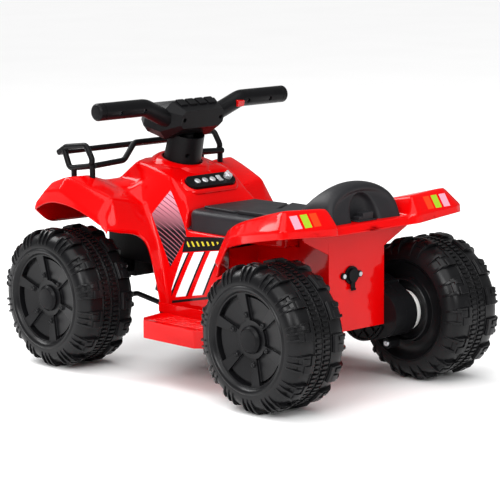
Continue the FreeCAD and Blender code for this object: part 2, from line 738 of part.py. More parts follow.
def handlebar_holes():
    grip = d.grip_diameter / 2
    far = d.bar_span
    holes = [Part.makeCylinder(d.axle_diameter / 2 + d.running_clearance, d.steering_rod_top)]
    for spot in screw_spots():
        depth = grip * screw_hole_share
        holes.append(Part.makeCylinder(d.screw_diameter / 2 + d.running_clearance, depth * 2,
                                       spot - V(depth, 0, 0), V(1, 0, 0)))
        holes.append(Part.makeCylinder(d.screw_head_diameter / 2 + d.moving_gap, far,
                                       spot - V(far + grip / 2, 0, 0), V(1, 0, 0)))
    holes.append(throttle_box(-far, throttle_well - grip, d.moving_gap))
    holes.append(throttle_box(0, grip * switch_depth_share, 0))
    return holes


def handlebar_screws():
    grip = d.grip_diameter / 2
    screws = []
    for spot in screw_spots():
        seat_x = spot - V(grip / 2, 0, 0)
        head = Part.makeCylinder(d.screw_head_diameter / 2, d.screw_head_height,
                                 seat_x - V(d.screw_head_height, 0, 0), V(1, 0, 0))
        shank = Part.makeCylinder(d.screw_diameter / 2, grip * shank_share, seat_x, V(1, 0, 0))
        screws.append(head.fuse(shank))
    solid_feature(Part.makeCompound(screws), "handlebar_screws", column_frame)


def handlebar():
    outer = bar_form(0)
    far = d.bar_span
    shell = outer.cut(bar_form(d.moulding_wall))
    bosses = [Part.makeCylinder(d.screw_boss_diameter / 2, far, spot - V(far / 2, 0, 0), V(1, 0, 0))
              for spot in screw_spots()]
    bosses.append(Part.makeCylinder(d.axle_diameter, d.bar_height))
    bosses.append(throttle_box(-far, far, d.moulding_wall))
    webs = outer.common(bosses[0].fuse(bosses[1:]))
    whole = shell.fuse(webs).cut(handlebar_holes())
    rear_side = Part.makeBox(far, far * 2, far, V(-far, -far, 0))
    front_side = Part.makeBox(far, far * 2, far, V(0, -far, 0))
    solid_feature(whole.common(rear_side), "handlebar_rear_half", column_frame)
    solid_feature(whole.common(front_side), "handlebar_front_half", column_frame)
    grip = d.grip_diameter / 2
    button = throttle_box(-grip - d.throttle_stand_out, throttle_well - grip - d.throttle_travel, 0)
    solid_feature(button, "throttle_button", column_frame)
    solid_feature(throttle_box(0, grip * switch_depth_share, 0), "throttle_switch", column_frame)
    handlebar_screws()
    cap = Part.makeCylinder(grip, d.grip_cap_length, V(0, d.bar_span / 2 - d.grip_cap_length, d.bar_height),
                            V(0, 1, 0))
    cap = cap.makeChamfer(d.grip_cap_length / 4, [max(cap.Edges, key=lambda edge: edge.BoundBox.YMin)])
    mirrored(solid_feature(cap, "grip_cap_left", column_frame), "grip_cap_right")


def steering_parts():
    bush = Part.makeCylinder(d.steering_bush_diameter / 2, d.steering_bush_depth + d.moving_gap,
                             V(0, 0, -d.steering_bush_depth))
    bore = Part.makeCylinder(d.axle_diameter / 2 + d.running_clearance, d.column_height * 2,
                             V(0, 0, -d.column_height))
    solid_feature(bush.cut(bore), "steering_bush", column_frame)
    level = axle_height.value - d.tie_rod_drop - d.tie_rod_dip
    arm = d.steering_arm_length
    rake = math.radians(d.steering_rake)
    pin_low = (level - column_base.z + arm * math.sin(rake)) / math.cos(rake)
    crank_low = pin_low + d.crank_pin_length / 2
    side = d.crank_width / 2
    shaft = Part.makeCylinder(d.axle_diameter / 2, d.steering_rod_top - crank_low, V(0, 0, crank_low))
    crank = Part.makeBox(arm, d.crank_width, d.crank_thickness, V(-arm, -side, crank_low))
    tip = Part.makeCylinder(side, d.crank_thickness, V(-arm, 0, crank_low))
    pin = Part.makeCylinder(d.crank_pin_diameter / 2, d.crank_pin_length + d.crank_thickness,
                            V(-arm, 0, crank_low - d.crank_pin_length))
    solid_feature(shaft.fuse([crank, tip, pin]), "steering_rod", column_frame)
    return column_frame.multVec(V(-arm, 0, pin_low))


def tie_rod(crank_spot):
    end = V(axle_x.value - d.steering_arm_length, kingpin_y.value, axle_height.value - d.tie_rod_drop)
    knee = V(end.x, end.y * tie_rod_knee_share, end.z)
    dip = V(crank_spot.x, end.y * tie_rod_dip_share, crank_spot.z)
    line = [end, knee, dip]
    line += [V(point.x, -point.y, point.z) for point in reversed(line)]
    bar = tube(line, d.tie_rod_diameter / 2, d.tie_rod_diameter)
    crank_end = V(crank_spot.x, 0, crank_spot.z)
    pin_bore = d.arm_pin_diameter / 2 + d.moving_gap
    height = d.tie_rod_eye_height
    half = V(0, 0, height / 2)
    eyes = []
    bores = []
    for spot, outside, inside in ((line[0], d.tie_rod_eye_diameter / 2, pin_bore),
                                  (line[-1], d.tie_rod_eye_diameter / 2, pin_bore),
                                  (crank_end, d.crank_eye_diameter / 2, d.crank_eye_bore / 2)):
        eyes.append(Part.makeCylinder(outside, height, spot - half))
        bores.append(Part.makeCylinder(inside, height * 2, spot - half * 2))
    return solid_feature(bar.fuse(eyes).cut(bores), "tie_rod")


def front_carrier():
    wall = s.carrier_wall
    side = s.carrier_width / 2
    rear = along_body(bulkhead_share) + wall
    front = along_body(carrier_front_share)
    low, high = up_body(carrier_low_share), up_body(carrier_high_share)
    channel = block((front - rear, s.carrier_width, high - low), (rear, -side, low))
    hollow = block((front - rear - wall * 2, s.carrier_width - wall * 2, high - low - wall),
                   (rear + wall, wall - side, low))
    boss_low = axle_height + s.kingpin_boss_drop
    boss_height = s.kingpin_boss_height
    post_rear = along_body(post_rear_share)
    post = block((front - post_rear, s.post_width, high - boss_low - wall),
                 (post_rear, -s.post_width / 2, boss_low))
    arm_width = s.kingpin_boss_diameter
    arm_rise = boss_height / 4
    arm = block((arm_width, kingpin_y * 2, boss_height - arm_rise),
                (axle_x - arm_width / 2, -kingpin_y, boss_low + arm_rise))
    bosses = []
    bores = []
    for y in (kingpin_y, -kingpin_y):
        bosses.append(rod(s.kingpin_boss_diameter / 2, boss_height, (axle_x, y, boss_low)))
        bores.append(rod(s.kingpin_diameter / 2 + s.running_clearance, boss_height * 2,
                         (axle_x, y, boss_low - boss_height / 2)))
    shaft_hole = doc.addObject("Part::Cylinder", "shaft_hole")
    start = column_frame.multVec(V(0, 0, -d.body_height))
    shaft_hole.Placement = FreeCAD.Placement(start, column_frame.Rotation)
    bind(shaft_hole, {"Radius": s.axle_diameter / 2 + s.moving_gap, "Height": s.body_height})
    frame = joined([less(channel, [hollow]), post, arm] + bosses)
    return keep(less(frame, bores + [shaft_hole]), "front_carrier")


def front_corner():
    boss_low = axle_height + s.kingpin_boss_drop
    boss_high = boss_low + s.kingpin_boss_height
    pin_radius = s.kingpin_diameter / 2
    ear_low = boss_low - s.moving_gap - s.ear_thickness
    ear_high = boss_high + s.moving_gap
    pin_high = ear_high + s.ear_thickness + s.moving_gap
    pin = rod(pin_radius, pin_high - ear_low, (axle_x, kingpin_y, ear_low))
    head = rod(s.kingpin_head_diameter / 2, s.kingpin_head_height, (axle_x, kingpin_y, pin_high))
    mirrored(keep(joined([pin, head]), "kingpin_left"), "kingpin_right")
    width = s.kingpin_boss_diameter
    web_y = kingpin_y + width / 2 + s.knuckle_web_gap
    ears = []
    for z in (ear_low, ear_high):
        ears.append(rod(width / 2, s.ear_thickness, (axle_x, kingpin_y, z)))
        ears.append(block((width, web_y - kingpin_y + s.knuckle_web_thickness, s.ear_thickness),
                          (axle_x - width / 2, kingpin_y, z)))
    web = block((width, s.knuckle_web_thickness, ear_high + s.ear_thickness - axle_height),
                (axle_x - width / 2, web_y, axle_height))
    boss = rod(s.stub_boss_diameter / 2, hub_back - kingpin_y - s.moving_gap,
               (axle_x, kingpin_y, axle_height), "y")
    arm_x = axle_x - s.steering_arm_length
    arm = block((s.steering_arm_length, s.steering_arm_width, s.ear_thickness),
                (arm_x, kingpin_y - s.steering_arm_width / 2, ear_low))
    arm_end = rod(s.steering_arm_width / 2, s.ear_thickness, (arm_x, kingpin_y, ear_low))
    arm_pin = rod(s.arm_pin_diameter / 2, s.arm_pin_length, (arm_x, kingpin_y, ear_low - s.arm_pin_length))
    solid = joined(ears + [web, boss, arm, arm_end, arm_pin])
    bore = rod(pin_radius + s.running_clearance, boss_high - boss_low + s.ear_thickness * 4,
               (axle_x, kingpin_y, ear_low - s.running_clearance))
    socket_y = kingpin_y + s.axle_diameter / 2
    socket = rod(s.axle_diameter / 2 + s.running_clearance, hub_back - kingpin_y,
                 (axle_x, socket_y, axle_height), "y")
    mirrored(keep(less(solid, [bore, socket]), "knuckle_left"), "knuckle_right")
    stub_end = s.overall_width / 2 - s.axle_end_inset
    stub = rod(s.axle_diameter / 2, stub_end - socket_y, (axle_x, socket_y, axle_height), "y")
    mirrored(keep(stub, "stub_axle_left"), "stub_axle_right")


def flange_nut(axle_shift):
    seat_y = half_track + s.wheel_width / 2 * nut_seat_share + s.moving_gap
    flange = rod(s.nut_flange_diameter / 2, s.nut_flange_thickness, (axle_shift, seat_y, axle_height), "y")
    hexagon = doc.addObject("Part::Prism", "hexagon")
    hexagon.Polygon = 6
    hexagon.Placement = FreeCAD.Placement(V(), FreeCAD.Rotation(V(1, 0, 0), -90))
    bind(hexagon, {"Circumradius": s.nut_across_corners / 2, "Height": s.nut_height})
    place(hexagon, (axle_shift, seat_y, axle_height))
    bore = rod(s.axle_diameter / 2 + s.running_clearance, s.nut_height * 3,
               (axle_shift, seat_y - s.nut_height, axle_height), "y")
    return less(joined([flange, hexagon]), [bore])


def wheel_spots(shares):
    return [(s.wheel_diameter / 2 * radius, s.wheel_width / 2 * side) for radius, side in shares]


def wheels():
    body = doc.addObject("PartDesign::Body", "wheel_front_left")
    bore = s.axle_diameter / 2 + s.running_clearance
    outer = wheel_spots(wheel_outer_shares)
    outer = [(bore, outer[0][1])] + outer + [(bore, outer[-1][1])]
    section = sketch_on(body, "XY_Plane", [outer, wheel_spots(wheel_cavity_shares)])
    turned(body, "Revolution", section)
    for side in (1, -1):
        shares = [(radius, side * width) for radius, width in lug_shares]
        lug = sketch_on(body, "XY_Plane", [wheel_spots(shares)])
        around(body, turned(body, "Revolution", lug, s.lug_angle), lug, lug_count)
    recesses = ((fan_shares, s.fan_angle, hub_pattern_count), (slot_shares, s.slot_angle, hub_pattern_count),
                (blow_hole_shares, s.blow_hole_angle, blow_hole_count))
    for shares, angle, count in recesses:
        cutter = sketch_on(body, "XY_Plane", [wheel_spots(shares)])
        around(body, turned(body, "Groove", cutter, angle), cutter, count)
    place(body, (axle_x, half_track, axle_height))
    front_left = keep(body, "wheel_front_left")
    rear_left = copied(front_left, "wheel_rear_left", (-s.wheelbase, ZERO, ZERO))
    mirrored(front_left, "wheel_front_right")
    mirrored(rear_left, "wheel_rear_right")


def hub_caps():
    body = doc.addObject("PartDesign::Body", "hub_cap_front_left")
    radius = s.hub_cap_diameter / 2
    low = s.wheel_width / 2 * hub_face_share
    high = low + s.hub_cap_height
    wall = s.moulding_wall
    profile = [(ZERO, high - wall), (radius - wall - s.hub_cap_chamfer / 2, high - wall),
               (radius - wall, high - wall - s.hub_cap_chamfer / 2), (radius - wall, low), (radius, low),
               (radius, high - s.hub_cap_chamfer), (radius - s.hub_cap_chamfer, high), (ZERO, high)]
    turned(body, "Revolution", sketch_on(body, "XY_Plane", [profile]))
    place(body, (axle_x, half_track, axle_height))
    front_left = keep(body, "hub_cap_front_left")
    rear_left = copied(front_left, "hub_cap_rear_left", (-s.wheelbase, ZERO, ZERO))
    mirrored(front_left, "hub_cap_front_right")
    mirrored(rear_left, "hub_cap_rear_right")


def floor_pan():
    rear, front = along_body(floor_rear_share), along_body(floor_front_share)
    low = s.floor_height - s.floor_thickness
    wall = s.moulding_wall
    slab = block((front - rear, s.floor_width, s.floor_thickness), (rear, -s.floor_width / 2, low))
    hollow = block((front - rear - wall * 2, s.floor_width - wall * 2, s.floor_thickness - wall),
                   (rear + wall, -s.floor_width / 2 + wall, low))
    bulkhead_top = up_body(BODY_SHARES["j"][1][0][2]) - s.skin_wall - s.moving_gap * 2
    bulkhead = block((s.carrier_wall, s.bulkhead_width, bulkhead_top - s.floor_height + wall),
                     (along_body(bulkhead_share), -s.bulkhead_width / 2, s.floor_height - wall))
    return keep(joined([less(slab, [hollow]), bulkhead]), "floor_pan")


def footrest():
    body = doc.addObject("PartDesign::Body", "footrest_left")
    side = s.floor_width / 2
    outline = [(along_body(x), side + s.footrest_width * y) for x, y in footrest_shares]
    grown(body, "Pad", sketch_on(body, "XY_Plane", [outline]), s.footrest_height)
    wall = s.moulding_wall
    middle = sum(x for x, y in footrest_shares) / len(footrest_shares)
    length = footrest_shares[1][0] - footrest_shares[0][0]
    inner = []
    for x, y in footrest_shares:
        x_in = -wall * ((x - middle) / length * 2)
        y_in = wall if y == 0 else -wall * y
        inner.append((along_body(x) + x_in, side + s.footrest_width * y + y_in))
    grown(body, "Pocket", sketch_on(body, "XY_Plane", [inner]), s.footrest_height - wall, True)
    rear, front = (along_body(share) for share in groove_end_shares)
    first, last = groove_side_shares
    pitch = s.footrest_width * ((last - first) / groove_count)
    grooves = []
    for i in range(groove_count):
        y_low = side + s.footrest_width * first + pitch * i
        y_high = y_low + s.groove_width
        grooves.append([(rear, y_low), (front, y_low), (front, y_high), (rear, y_high)])
    top = sketch_on(body, "XY_Plane", grooves, s.footrest_height)
    grown(body, "Pocket", top, s.groove_depth)
    place(body, (ZERO, ZERO, s.floor_height - s.footrest_drop - s.footrest_height))
    mirrored(keep(body, "footrest_left"), "footrest_right")


def rear_box():
    body = doc.addObject("PartDesign::Body", "rear_box_shell")
    wall = s.moulding_wall
    rear, step, front = (along_body(share) for share in (box_rear_share, box_step_share, box_front_share))
    low, high = up_body(box_floor_share), up_body(box_top_share) - s.moving_gap
    shelf = up_body(BODY_SHARES["m"][1][0][2]) - s.skin_wall - s.moving_gap
    outline = [(rear, low), (front, low), (front, shelf), (step, shelf), (step, high), (rear, high)]
    grown(body, "Pad", sketch_on(body, "XZ_Plane", [outline], -box_side), box_side * 2)
    inner = [(rear + wall, low + wall), (front - wall, low + wall), (front - wall, shelf - wall),
             (step - wall, shelf - wall), (step - wall, high + wall), (rear + wall, high + wall)]
    grown(body, "Pocket", sketch_on(body, "XZ_Plane", [inner], wall - box_side), (box_side - wall) * 2, True)
    flare = [(-box_side, high - s.flare_height), (box_side, high - s.flare_height),
             (box_side + s.flare_reach, high), (-box_side - s.flare_reach, high)]
    grown(body, "Pad", sketch_on(body, "YZ_Plane", [flare], rear), wall)
    flange_low, flange_high = s.floor_height - s.floor_thickness, up_body(flange_top_share)
    flange = block((along_body(flange_share) - front, s.rear_flange_width, flange_high - flange_low),
                   (front, -s.rear_flange_width / 2, flange_low))
    axle_hole = rod(s.axle_diameter / 2 + s.running_clearance, s.overall_width,
                    (-axle_x, -s.overall_width / 2, axle_height), "y")
    motor_hole = rod(s.motor_nose_diameter / 2 + s.moving_gap, box_side * 2,
                     (motor_x, -box_side * 2, motor_z), "y")
    socket_hole = rod(s.socket_diameter / 2 + s.moving_gap, s.socket_depth * 2,
                      (rear - s.socket_depth, s.socket_side_offset, up_body(socket_height_share)), "x")
    return keep(less(joined([body, flange]), [axle_hole, motor_hole, socket_hole]), "rear_box")


line_cos = math.cos(math.radians(d.gear_line_angle))
line_sin = math.sin(math.radians(d.gear_line_angle))
idler_reach = s.gear_module * ((output_teeth + idler_pinion_teeth) / 2)
motor_reach = idler_reach + s.gear_module * ((idler_wheel_teeth + pinion_teeth) / 2)
idler_x, idler_z = -axle_x + idler_reach * line_cos, axle_height + idler_reach * line_sin
motor_x, motor_z = -axle_x + motor_reach * line_cos, axle_height + motor_reach * line_sin
axle_spot = (-axle_x.value, axle_height.value)
idler_spot = (idler_x.value, idler_z.value)
motor_spot = (motor_x.value, motor_z.value)


def gear_points(teeth, first_angle):
    slope = math.radians(d.pressure_angle)
    pitch_radius = d.gear_module * teeth / 2
    base = pitch_radius * math.cos(slope)
    tip, root = pitch_radius + d.gear_module, pitch_radius - d.gear_module * tooth_root_share
    half_tooth = math.pi / 2 / teeth - d.gear_backlash / 4 / pitch_radius
    involute = math.tan(slope) - slope
    flank = []
    for i in range(flank_steps + 1):
        radius = max(base, root) + (tip - max(base, root)) * i / flank_steps
        pressure = math.acos(min(1, base / radius))
        flank.append((radius, half_tooth + involute - (math.tan(pressure) - pressure)))
    if root < base:
        flank.insert(0, (root, flank[0][1]))
    points = []
    for tooth in range(teeth):
        middle = first_angle + 2 * math.pi * tooth / teeth
        for radius, angle in flank:
            points.append((radius, middle - angle))
        for radius, angle in reversed(flank):
            points.append((radius, middle + angle))
    return [(radius * math.cos(angle), radius * math.sin(angle)) for radius, angle in points]


def gear(teeth, first_angle, centre, y_low, y_high):
    points = [V(centre[0] + x, y_low, centre[1] + z) for x, z in gear_points(teeth, first_angle)]
    return prism(points, V(0, y_high - y_low, 0))


def disc(radius, centre, y_low, y_high):
    return Part.makeCylinder(radius, y_high - y_low, V(centre[0], y_low, centre[1]), V(0, 1, 0))


def gear_case(grow, y_low, y_high):
    small, big = d.gearbox_radius + grow, d.gearbox_drum_radius + grow
    lean = math.acos((small - big) / idler_reach.value)
    line = math.radians(d.gear_line_angle)
    axle = V(axle_spot[0], y_low, axle_spot[1])
    idler = V(idler_spot[0], y_low, idler_spot[1])
    spots = []
    for angle in (line + lean, line - lean):
        way = V(math.cos(angle), 0, math.sin(angle))
        spots += [axle + way * small, idler + way * big]
    web = prism([spots[0], spots[1], spots[3], spots[2]], V(0, y_high - y_low, 0))
    rounds = [disc(small, axle_spot, y_low, y_high), disc(big, idler_spot, y_low, y_high)]
    return web.fuse(rounds).removeSplitter()


def gearbox_levels():
    inner_face = -box_side.value
    outer_face = inner_face - gearbox_depth.value
    wall = d.moulding_wall
    room = inner_face - outer_face - wall * 2
    rest, wheel, output, foot = (room * share for share in gear_stack_shares)
    wheel_high = inner_face - wall - rest - d.moving_gap
    output_low = outer_face + wall + foot + d.moving_gap
    return types.SimpleNamespace(inner=inner_face, outer=outer_face, seam=(inner_face + outer_face) / 2,
                                 wheel_low=wheel_high - wheel, wheel_high=wheel_high,
                                 output_low=output_low, output_high=output_low + output)


def gearbox_halves(at):
    wall = d.moulding_wall
    gap = d.moving_gap
    pin = d.idler_pin_diameter / 2
    reach = d.gearbox_drum_radius - d.screw_boss_diameter / 4
    spots = []
    for angle in gearbox_screw_angles:
        turn = math.radians(angle)
        spots.append((idler_spot[0] + reach * math.cos(turn), idler_spot[1] + reach * math.sin(turn)))
    holes = [disc(pin + d.running_clearance, idler_spot, at.outer + wall / 2, at.inner - wall / 2),
             disc(d.motor_nose_diameter / 2 + gap, motor_spot, at.seam, 0),
             disc(d.axle_diameter / 2 + d.running_clearance, axle_spot, at.outer * 2, 0),
             disc(d.drive_dog_diameter / 2 + gap, axle_spot, at.outer * 2, at.outer + wall * 2)]
    screws = []
    for spot in spots:
        shank = disc(d.screw_diameter / 2, spot, at.outer, at.inner - wall)
        head = disc(d.screw_head_diameter / 2, spot, at.outer - d.screw_head_height, at.outer)
        screws.append(shank.fuse(head))
        holes.append(disc(d.screw_diameter / 2 + d.running_clearance, spot, at.outer - wall, at.inner - wall))
    rests = ((at.wheel_high + gap, at.inner), (at.outer, at.output_low - gap))
    inner = ("gearbox_inner", (at.seam, at.inner), (at.seam, at.inner - wall), rests[0])
    outer = ("gearbox_outer", (at.outer, at.seam), (at.outer + wall, at.seam), rests[1])
    for label, case, hollow, boss in (inner, outer):
        half = gear_case(0, *case).cut(gear_case(-wall, *hollow))
        half = half.fuse([disc(d.screw_boss_diameter / 2, spot, *case) for spot in spots])
        half = half.fuse(disc(pin * 2, idler_spot, *boss))
        solid_feature(half.cut(holes), label)
    solid_feature(Part.makeCompound(screws), "gearbox_screws")


def gear_train(at):
    gap = d.moving_gap
    wall = d.moulding_wall
    line = math.radians(d.gear_line_angle)
    pin = disc(d.idler_pin_diameter / 2, idler_spot, at.outer + wall / 2 + gap, at.inner - wall / 2 - gap)
    ahead = line + math.pi / idler_wheel_teeth
    behind = line + math.pi + math.pi / idler_pinion_teeth
    idler = gear(idler_wheel_teeth, ahead, idler_spot, at.wheel_low, at.wheel_high)
    idler = idler.fuse([gear(idler_pinion_teeth, behind, idler_spot, at.output_low, at.wheel_low), pin])
    solid_feature(idler, "reduction_gear")
    face = at.inner + wall
    shaft_end = face + d.motor_length / 2
    pinion = gear(pinion_teeth, line + math.pi, motor_spot, at.wheel_low - gap, at.wheel_high + gap)
    pinion = pinion.fuse(disc(d.motor_shaft_diameter / 2, motor_spot, at.wheel_low, shaft_end))
    solid_feature(pinion, "motor_pinion")
    can = disc(d.motor_diameter / 2, motor_spot, face, face + d.motor_length)
    nose = disc(d.motor_nose_diameter / 2, motor_spot, face - wall * 2, face)
    shaft_hole = d.motor_shaft_diameter / 2 + d.running_clearance
    bore = disc(shaft_hole, motor_spot, face - wall * 3, shaft_end + gap)
    solid_feature(can.fuse(nose).cut(bore), "motor")
    back = -hub_back.value
    output = gear(output_teeth, line, axle_spot, at.output_low, at.output_high)
    output = output.fuse(disc(d.drive_dog_diameter / 2, axle_spot, back, at.output_low))
    axle_bore = disc(d.axle_diameter / 2 + d.running_clearance, axle_spot, back * 2, 0)
    solid_feature(output.cut(axle_bore), "output_gear")


def rear_axle():
    length = s.overall_width - s.axle_end_inset * 2
    keep(rod(s.axle_diameter / 2, length, (-axle_x, -length / 2, axle_height), "y"), "rear_axle")
    sleeve = rod(s.axle_sleeve_diameter / 2, hub_back - s.moving_gap - box_side,
                 (-axle_x, box_side, axle_height), "y")
    bore = rod(s.axle_diameter / 2 + s.running_clearance, s.overall_width, (-axle_x, ZERO, axle_height), "y")
    keep(less(sleeve, [bore]), "axle_sleeve")
    nut = flange_nut(-axle_x)
    other = doc.addObject("Part::Mirroring", "nut_right")
    other.Source = nut
    other.Normal = V(0, 1, 0)
    pair = doc.addObject("Part::Compound", "rear_nuts")
    pair.Links = [nut, other]
    keep(pair, "rear_nuts")
    mirrored(keep(flange_nut(axle_x), "front_nut_left"), "front_nut_right")


def inner_parts():
    battery = (s.battery_length, s.battery_width, s.battery_height)
    battery_x = along_body(battery_share) - s.battery_length / 2
    keep(block(battery, (battery_x, -s.battery_width / 2, s.floor_height)), "battery")
    wall_x = along_body(bulkhead_share)
    spot = (wall_x - s.board_thickness, across_body(board_shares[0]), up_body(board_shares[1]))
    keep(block((s.board_thickness, s.board_width, s.board_height), spot), "control_board")
    spot = (wall_x - s.speaker_depth, across_body(speaker_shares[0]), up_body(speaker_shares[1]))
    keep(rod(s.speaker_diameter / 2, s.speaker_depth, spot, "x"), "speaker")


def dash():
    half = (d.dash_length - d.dash_height) / 2
    end = d.dash_height / 2
    top = d.dash_thickness
    gap = d.moving_gap
    travel = d.button_travel
    plate = Part.makeBox(d.dash_height, half * 2, top, V(-end, -half, 0))
    plate = plate.fuse([Part.makeCylinder(end, top, V(0, side * half, 0)) for side in (1, -1)])
    plate = plate.fuse(Part.makeBox(end, half * 2, d.dash_depth, V(-end / 2, -half, -d.dash_depth)))
    plate = plate.removeSplitter()
    holes = []
    pieces = []
    floor = top - d.button_length - travel
    for number, share in zip(("one", "two", "three"), dash_button_shares):
        y = d.dash_length * share
        holes.append(Part.makeCylinder(d.button_diameter / 2 + gap, d.button_length * 3, V(0, y, floor)))
        button = Part.makeCylinder(d.button_diameter / 2, d.button_length + travel, V(0, y, floor + travel))
        rim = max(button.Edges, key=lambda edge: edge.BoundBox.ZMin)
        pieces.append((f"dash_button_{number}", button.makeChamfer(travel / 2, [rim])))
    y = d.dash_length * rocker_share - d.rocker_width / 2
    reach = d.rocker_length / 2
    well = top * rocker_well_share
    holes.append(Part.makeBox(d.rocker_length + gap * 2, d.rocker_width + gap * 2, top * 2,
                              V(-reach - gap, y - gap, well)))
    low = well + travel
    saddle = [(gap - reach, low + gap), (0, low - gap), (reach - gap, low + gap), (reach - gap, top + travel),
              (0, top + travel * rocker_dip_share), (gap - reach, top + travel)]
    pieces.append(("rocker_switch", prism([V(x, y, z) for x, z in saddle], V(0, d.rocker_width, 0))))
    y = d.dash_length * knob_share
    stem = d.knob_diameter / 4
    holes.append(Part.makeCylinder(stem + gap, top * 2, V(0, y, 0)))
    knob = Part.makeCylinder(d.knob_diameter / 2, top, V(0, y, top + gap))
    reach = d.knob_diameter * knob_bar_share
    bar = Part.makeBox(reach * 2, stem, stem, V(-reach, y - stem / 2, top * 2 + gap))
    pieces.append(("key_knob", knob.fuse([bar, Part.makeCylinder(stem, top, V(0, y, gap))])))
    solid_feature(plate.cut(holes), "dash_panel", dash_frame)
    for name, piece in pieces:
        solid_feature(piece, name, dash_frame)


def charge_parts():
    face = along_body(box_rear_share).value
    centre = V(face, d.socket_side_offset, up_body(socket_height_share).value)
    back = V(-1, 0, 0)
    flange = Part.makeCylinder(d.socket_flange_diameter / 2, d.socket_flange_height, centre, back)
    barrel = Part.makeCylinder(d.socket_diameter / 2, d.socket_depth, centre, V(1, 0, 0))
    mouth = centre + back * d.socket_flange_height
    bore = Part.makeCylinder(d.socket_bore / 2, d.socket_depth, mouth, V(1, 0, 0))
    ears = []
    screws = []
    for side in (1, -1):
        spot = centre + V(0, side * d.socket_flange_diameter * socket_ear_share, 0)
        ears.append(Part.makeCylinder(d.socket_ear_diameter / 2, d.socket_flange_height, spot, back))
        screws.append(Part.makeCylinder(d.screw_head_diameter / 2, d.screw_head_height / 2,
                                        spot + back * d.socket_flange_height, back))
    solid_feature(flange.fuse(ears + [barrel]).cut(bore), "charge_socket")
    solid_feature(Part.makeCompound(screws), "charge_screws")
    lid_face = centre + back * (d.socket_flange_height + d.moving_gap)
    lid = Part.makeCylinder(d.cap_diameter / 2, d.cap_thickness, lid_face, back)
    foot = lid_face + V(-d.cap_thickness / 2, -d.cap_strap_width / 2, -d.cap_strap_length)
    strap = Part.makeBox(d.cap_thickness / 2, d.cap_strap_width, d.cap_strap_length, foot)
    roll = Part.makeCylinder(d.cap_thickness / 2, d.cap_strap_width, foot, V(0, 1, 0))
    solid_feature(lid.fuse([strap, roll]).removeSplitter(), "charge_cap")


def headlights():
    corners = body_corners()
    lenses = []
    for side in ("", " right"):
        quad = [corners[f"{name}{side}"] for name in ("a1", "a2", "b2", "b1")]
        (u_low, v_low), (u_high, v_high) = lens_shares
        spots = []
        for u, v in ((u_low, v_low), (u_high, v_low), (u_high, v_high), (u_low, v_high)):
            low = quad[0] * (1 - u) + quad[1] * u
            high = quad[3] * (1 - u) + quad[2] * u
            spots.append(low * (1 - v) + high * v)
        if side:
            spots.reverse()
        normal = cell_normal(spots)
        centre = sum(spots, V()) / len(spots)
        lift = d.moving_gap + d.running_clearance
        flat = [spot - normal * (spot - centre).dot(normal) + normal * lift for spot in spots]
        lenses.append(prism(flat, normal * d.lens_thickness))
    solid_feature(Part.makeCompound(lenses), "headlights")


shell = body_shell()
seat()
backrest()
front_rack(shell)
dash()
headlights()
handlebar()
tie_rod(steering_parts())
front_carrier()
front_corner()
floor_pan()
footrest()
rear_box()
levels = gearbox_levels()
gearbox_halves(levels)
gear_train(levels)
rear_axle()
wheels()
hub_caps()
inner_parts()
charge_parts()
doc.recompute()

os.makedirs("parts", exist_ok=True)
for node in nodes:
    if "Invalid" in node.State or "Error" in node.State:
        raise RuntimeError(f"{node.Label} failed to build")
    if node.Shape.isNull() or not node.Shape.isValid() or node.Shape.Volume <= 0:
        raise RuntimeError(f"{node.Label} has no valid solid")
    node.Shape.exportStep(f"parts/{node.Label}.step")
    box = node.Shape.BoundBox
    print(f"{node.Label:24s} solids {len(node.Shape.Solids)} volume {node.Shape.Volume / 1000:8.2f} "
          f"x {box.XMin:.1f} {box.XMax:.1f} y {box.YMin:.1f} {box.YMax:.1f} z {box.ZMin:.1f} {box.ZMax:.1f}")
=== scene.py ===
import json
import math

import bmesh
import bpy
from mathutils import Matrix, Vector


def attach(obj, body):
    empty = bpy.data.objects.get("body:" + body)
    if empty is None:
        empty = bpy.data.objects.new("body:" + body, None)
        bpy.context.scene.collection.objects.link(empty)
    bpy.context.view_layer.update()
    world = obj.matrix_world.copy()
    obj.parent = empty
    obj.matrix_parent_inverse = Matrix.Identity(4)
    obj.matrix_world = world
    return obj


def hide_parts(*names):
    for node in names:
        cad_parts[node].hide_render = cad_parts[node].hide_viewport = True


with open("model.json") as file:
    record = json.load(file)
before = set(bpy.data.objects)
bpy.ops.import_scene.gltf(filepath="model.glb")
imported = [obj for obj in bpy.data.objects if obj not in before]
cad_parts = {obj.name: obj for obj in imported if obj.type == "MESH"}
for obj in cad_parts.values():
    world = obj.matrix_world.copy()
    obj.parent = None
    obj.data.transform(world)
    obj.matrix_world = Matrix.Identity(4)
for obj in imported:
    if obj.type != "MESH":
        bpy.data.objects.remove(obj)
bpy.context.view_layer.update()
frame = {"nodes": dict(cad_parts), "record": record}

MM = 0.001
nodes = frame["nodes"]
behaviour = frame["record"]["behaviour"]
# The body that carries each node, and the place of each body's hinge.
home = {name: body for body, names in behaviour["bodies"].items() for name in names}
hinge_place = {joint["child"]: Vector(joint["pos_m"]) for joint in behaviour["joints"]
               if joint["type"] == "hinge"}


# Finishes


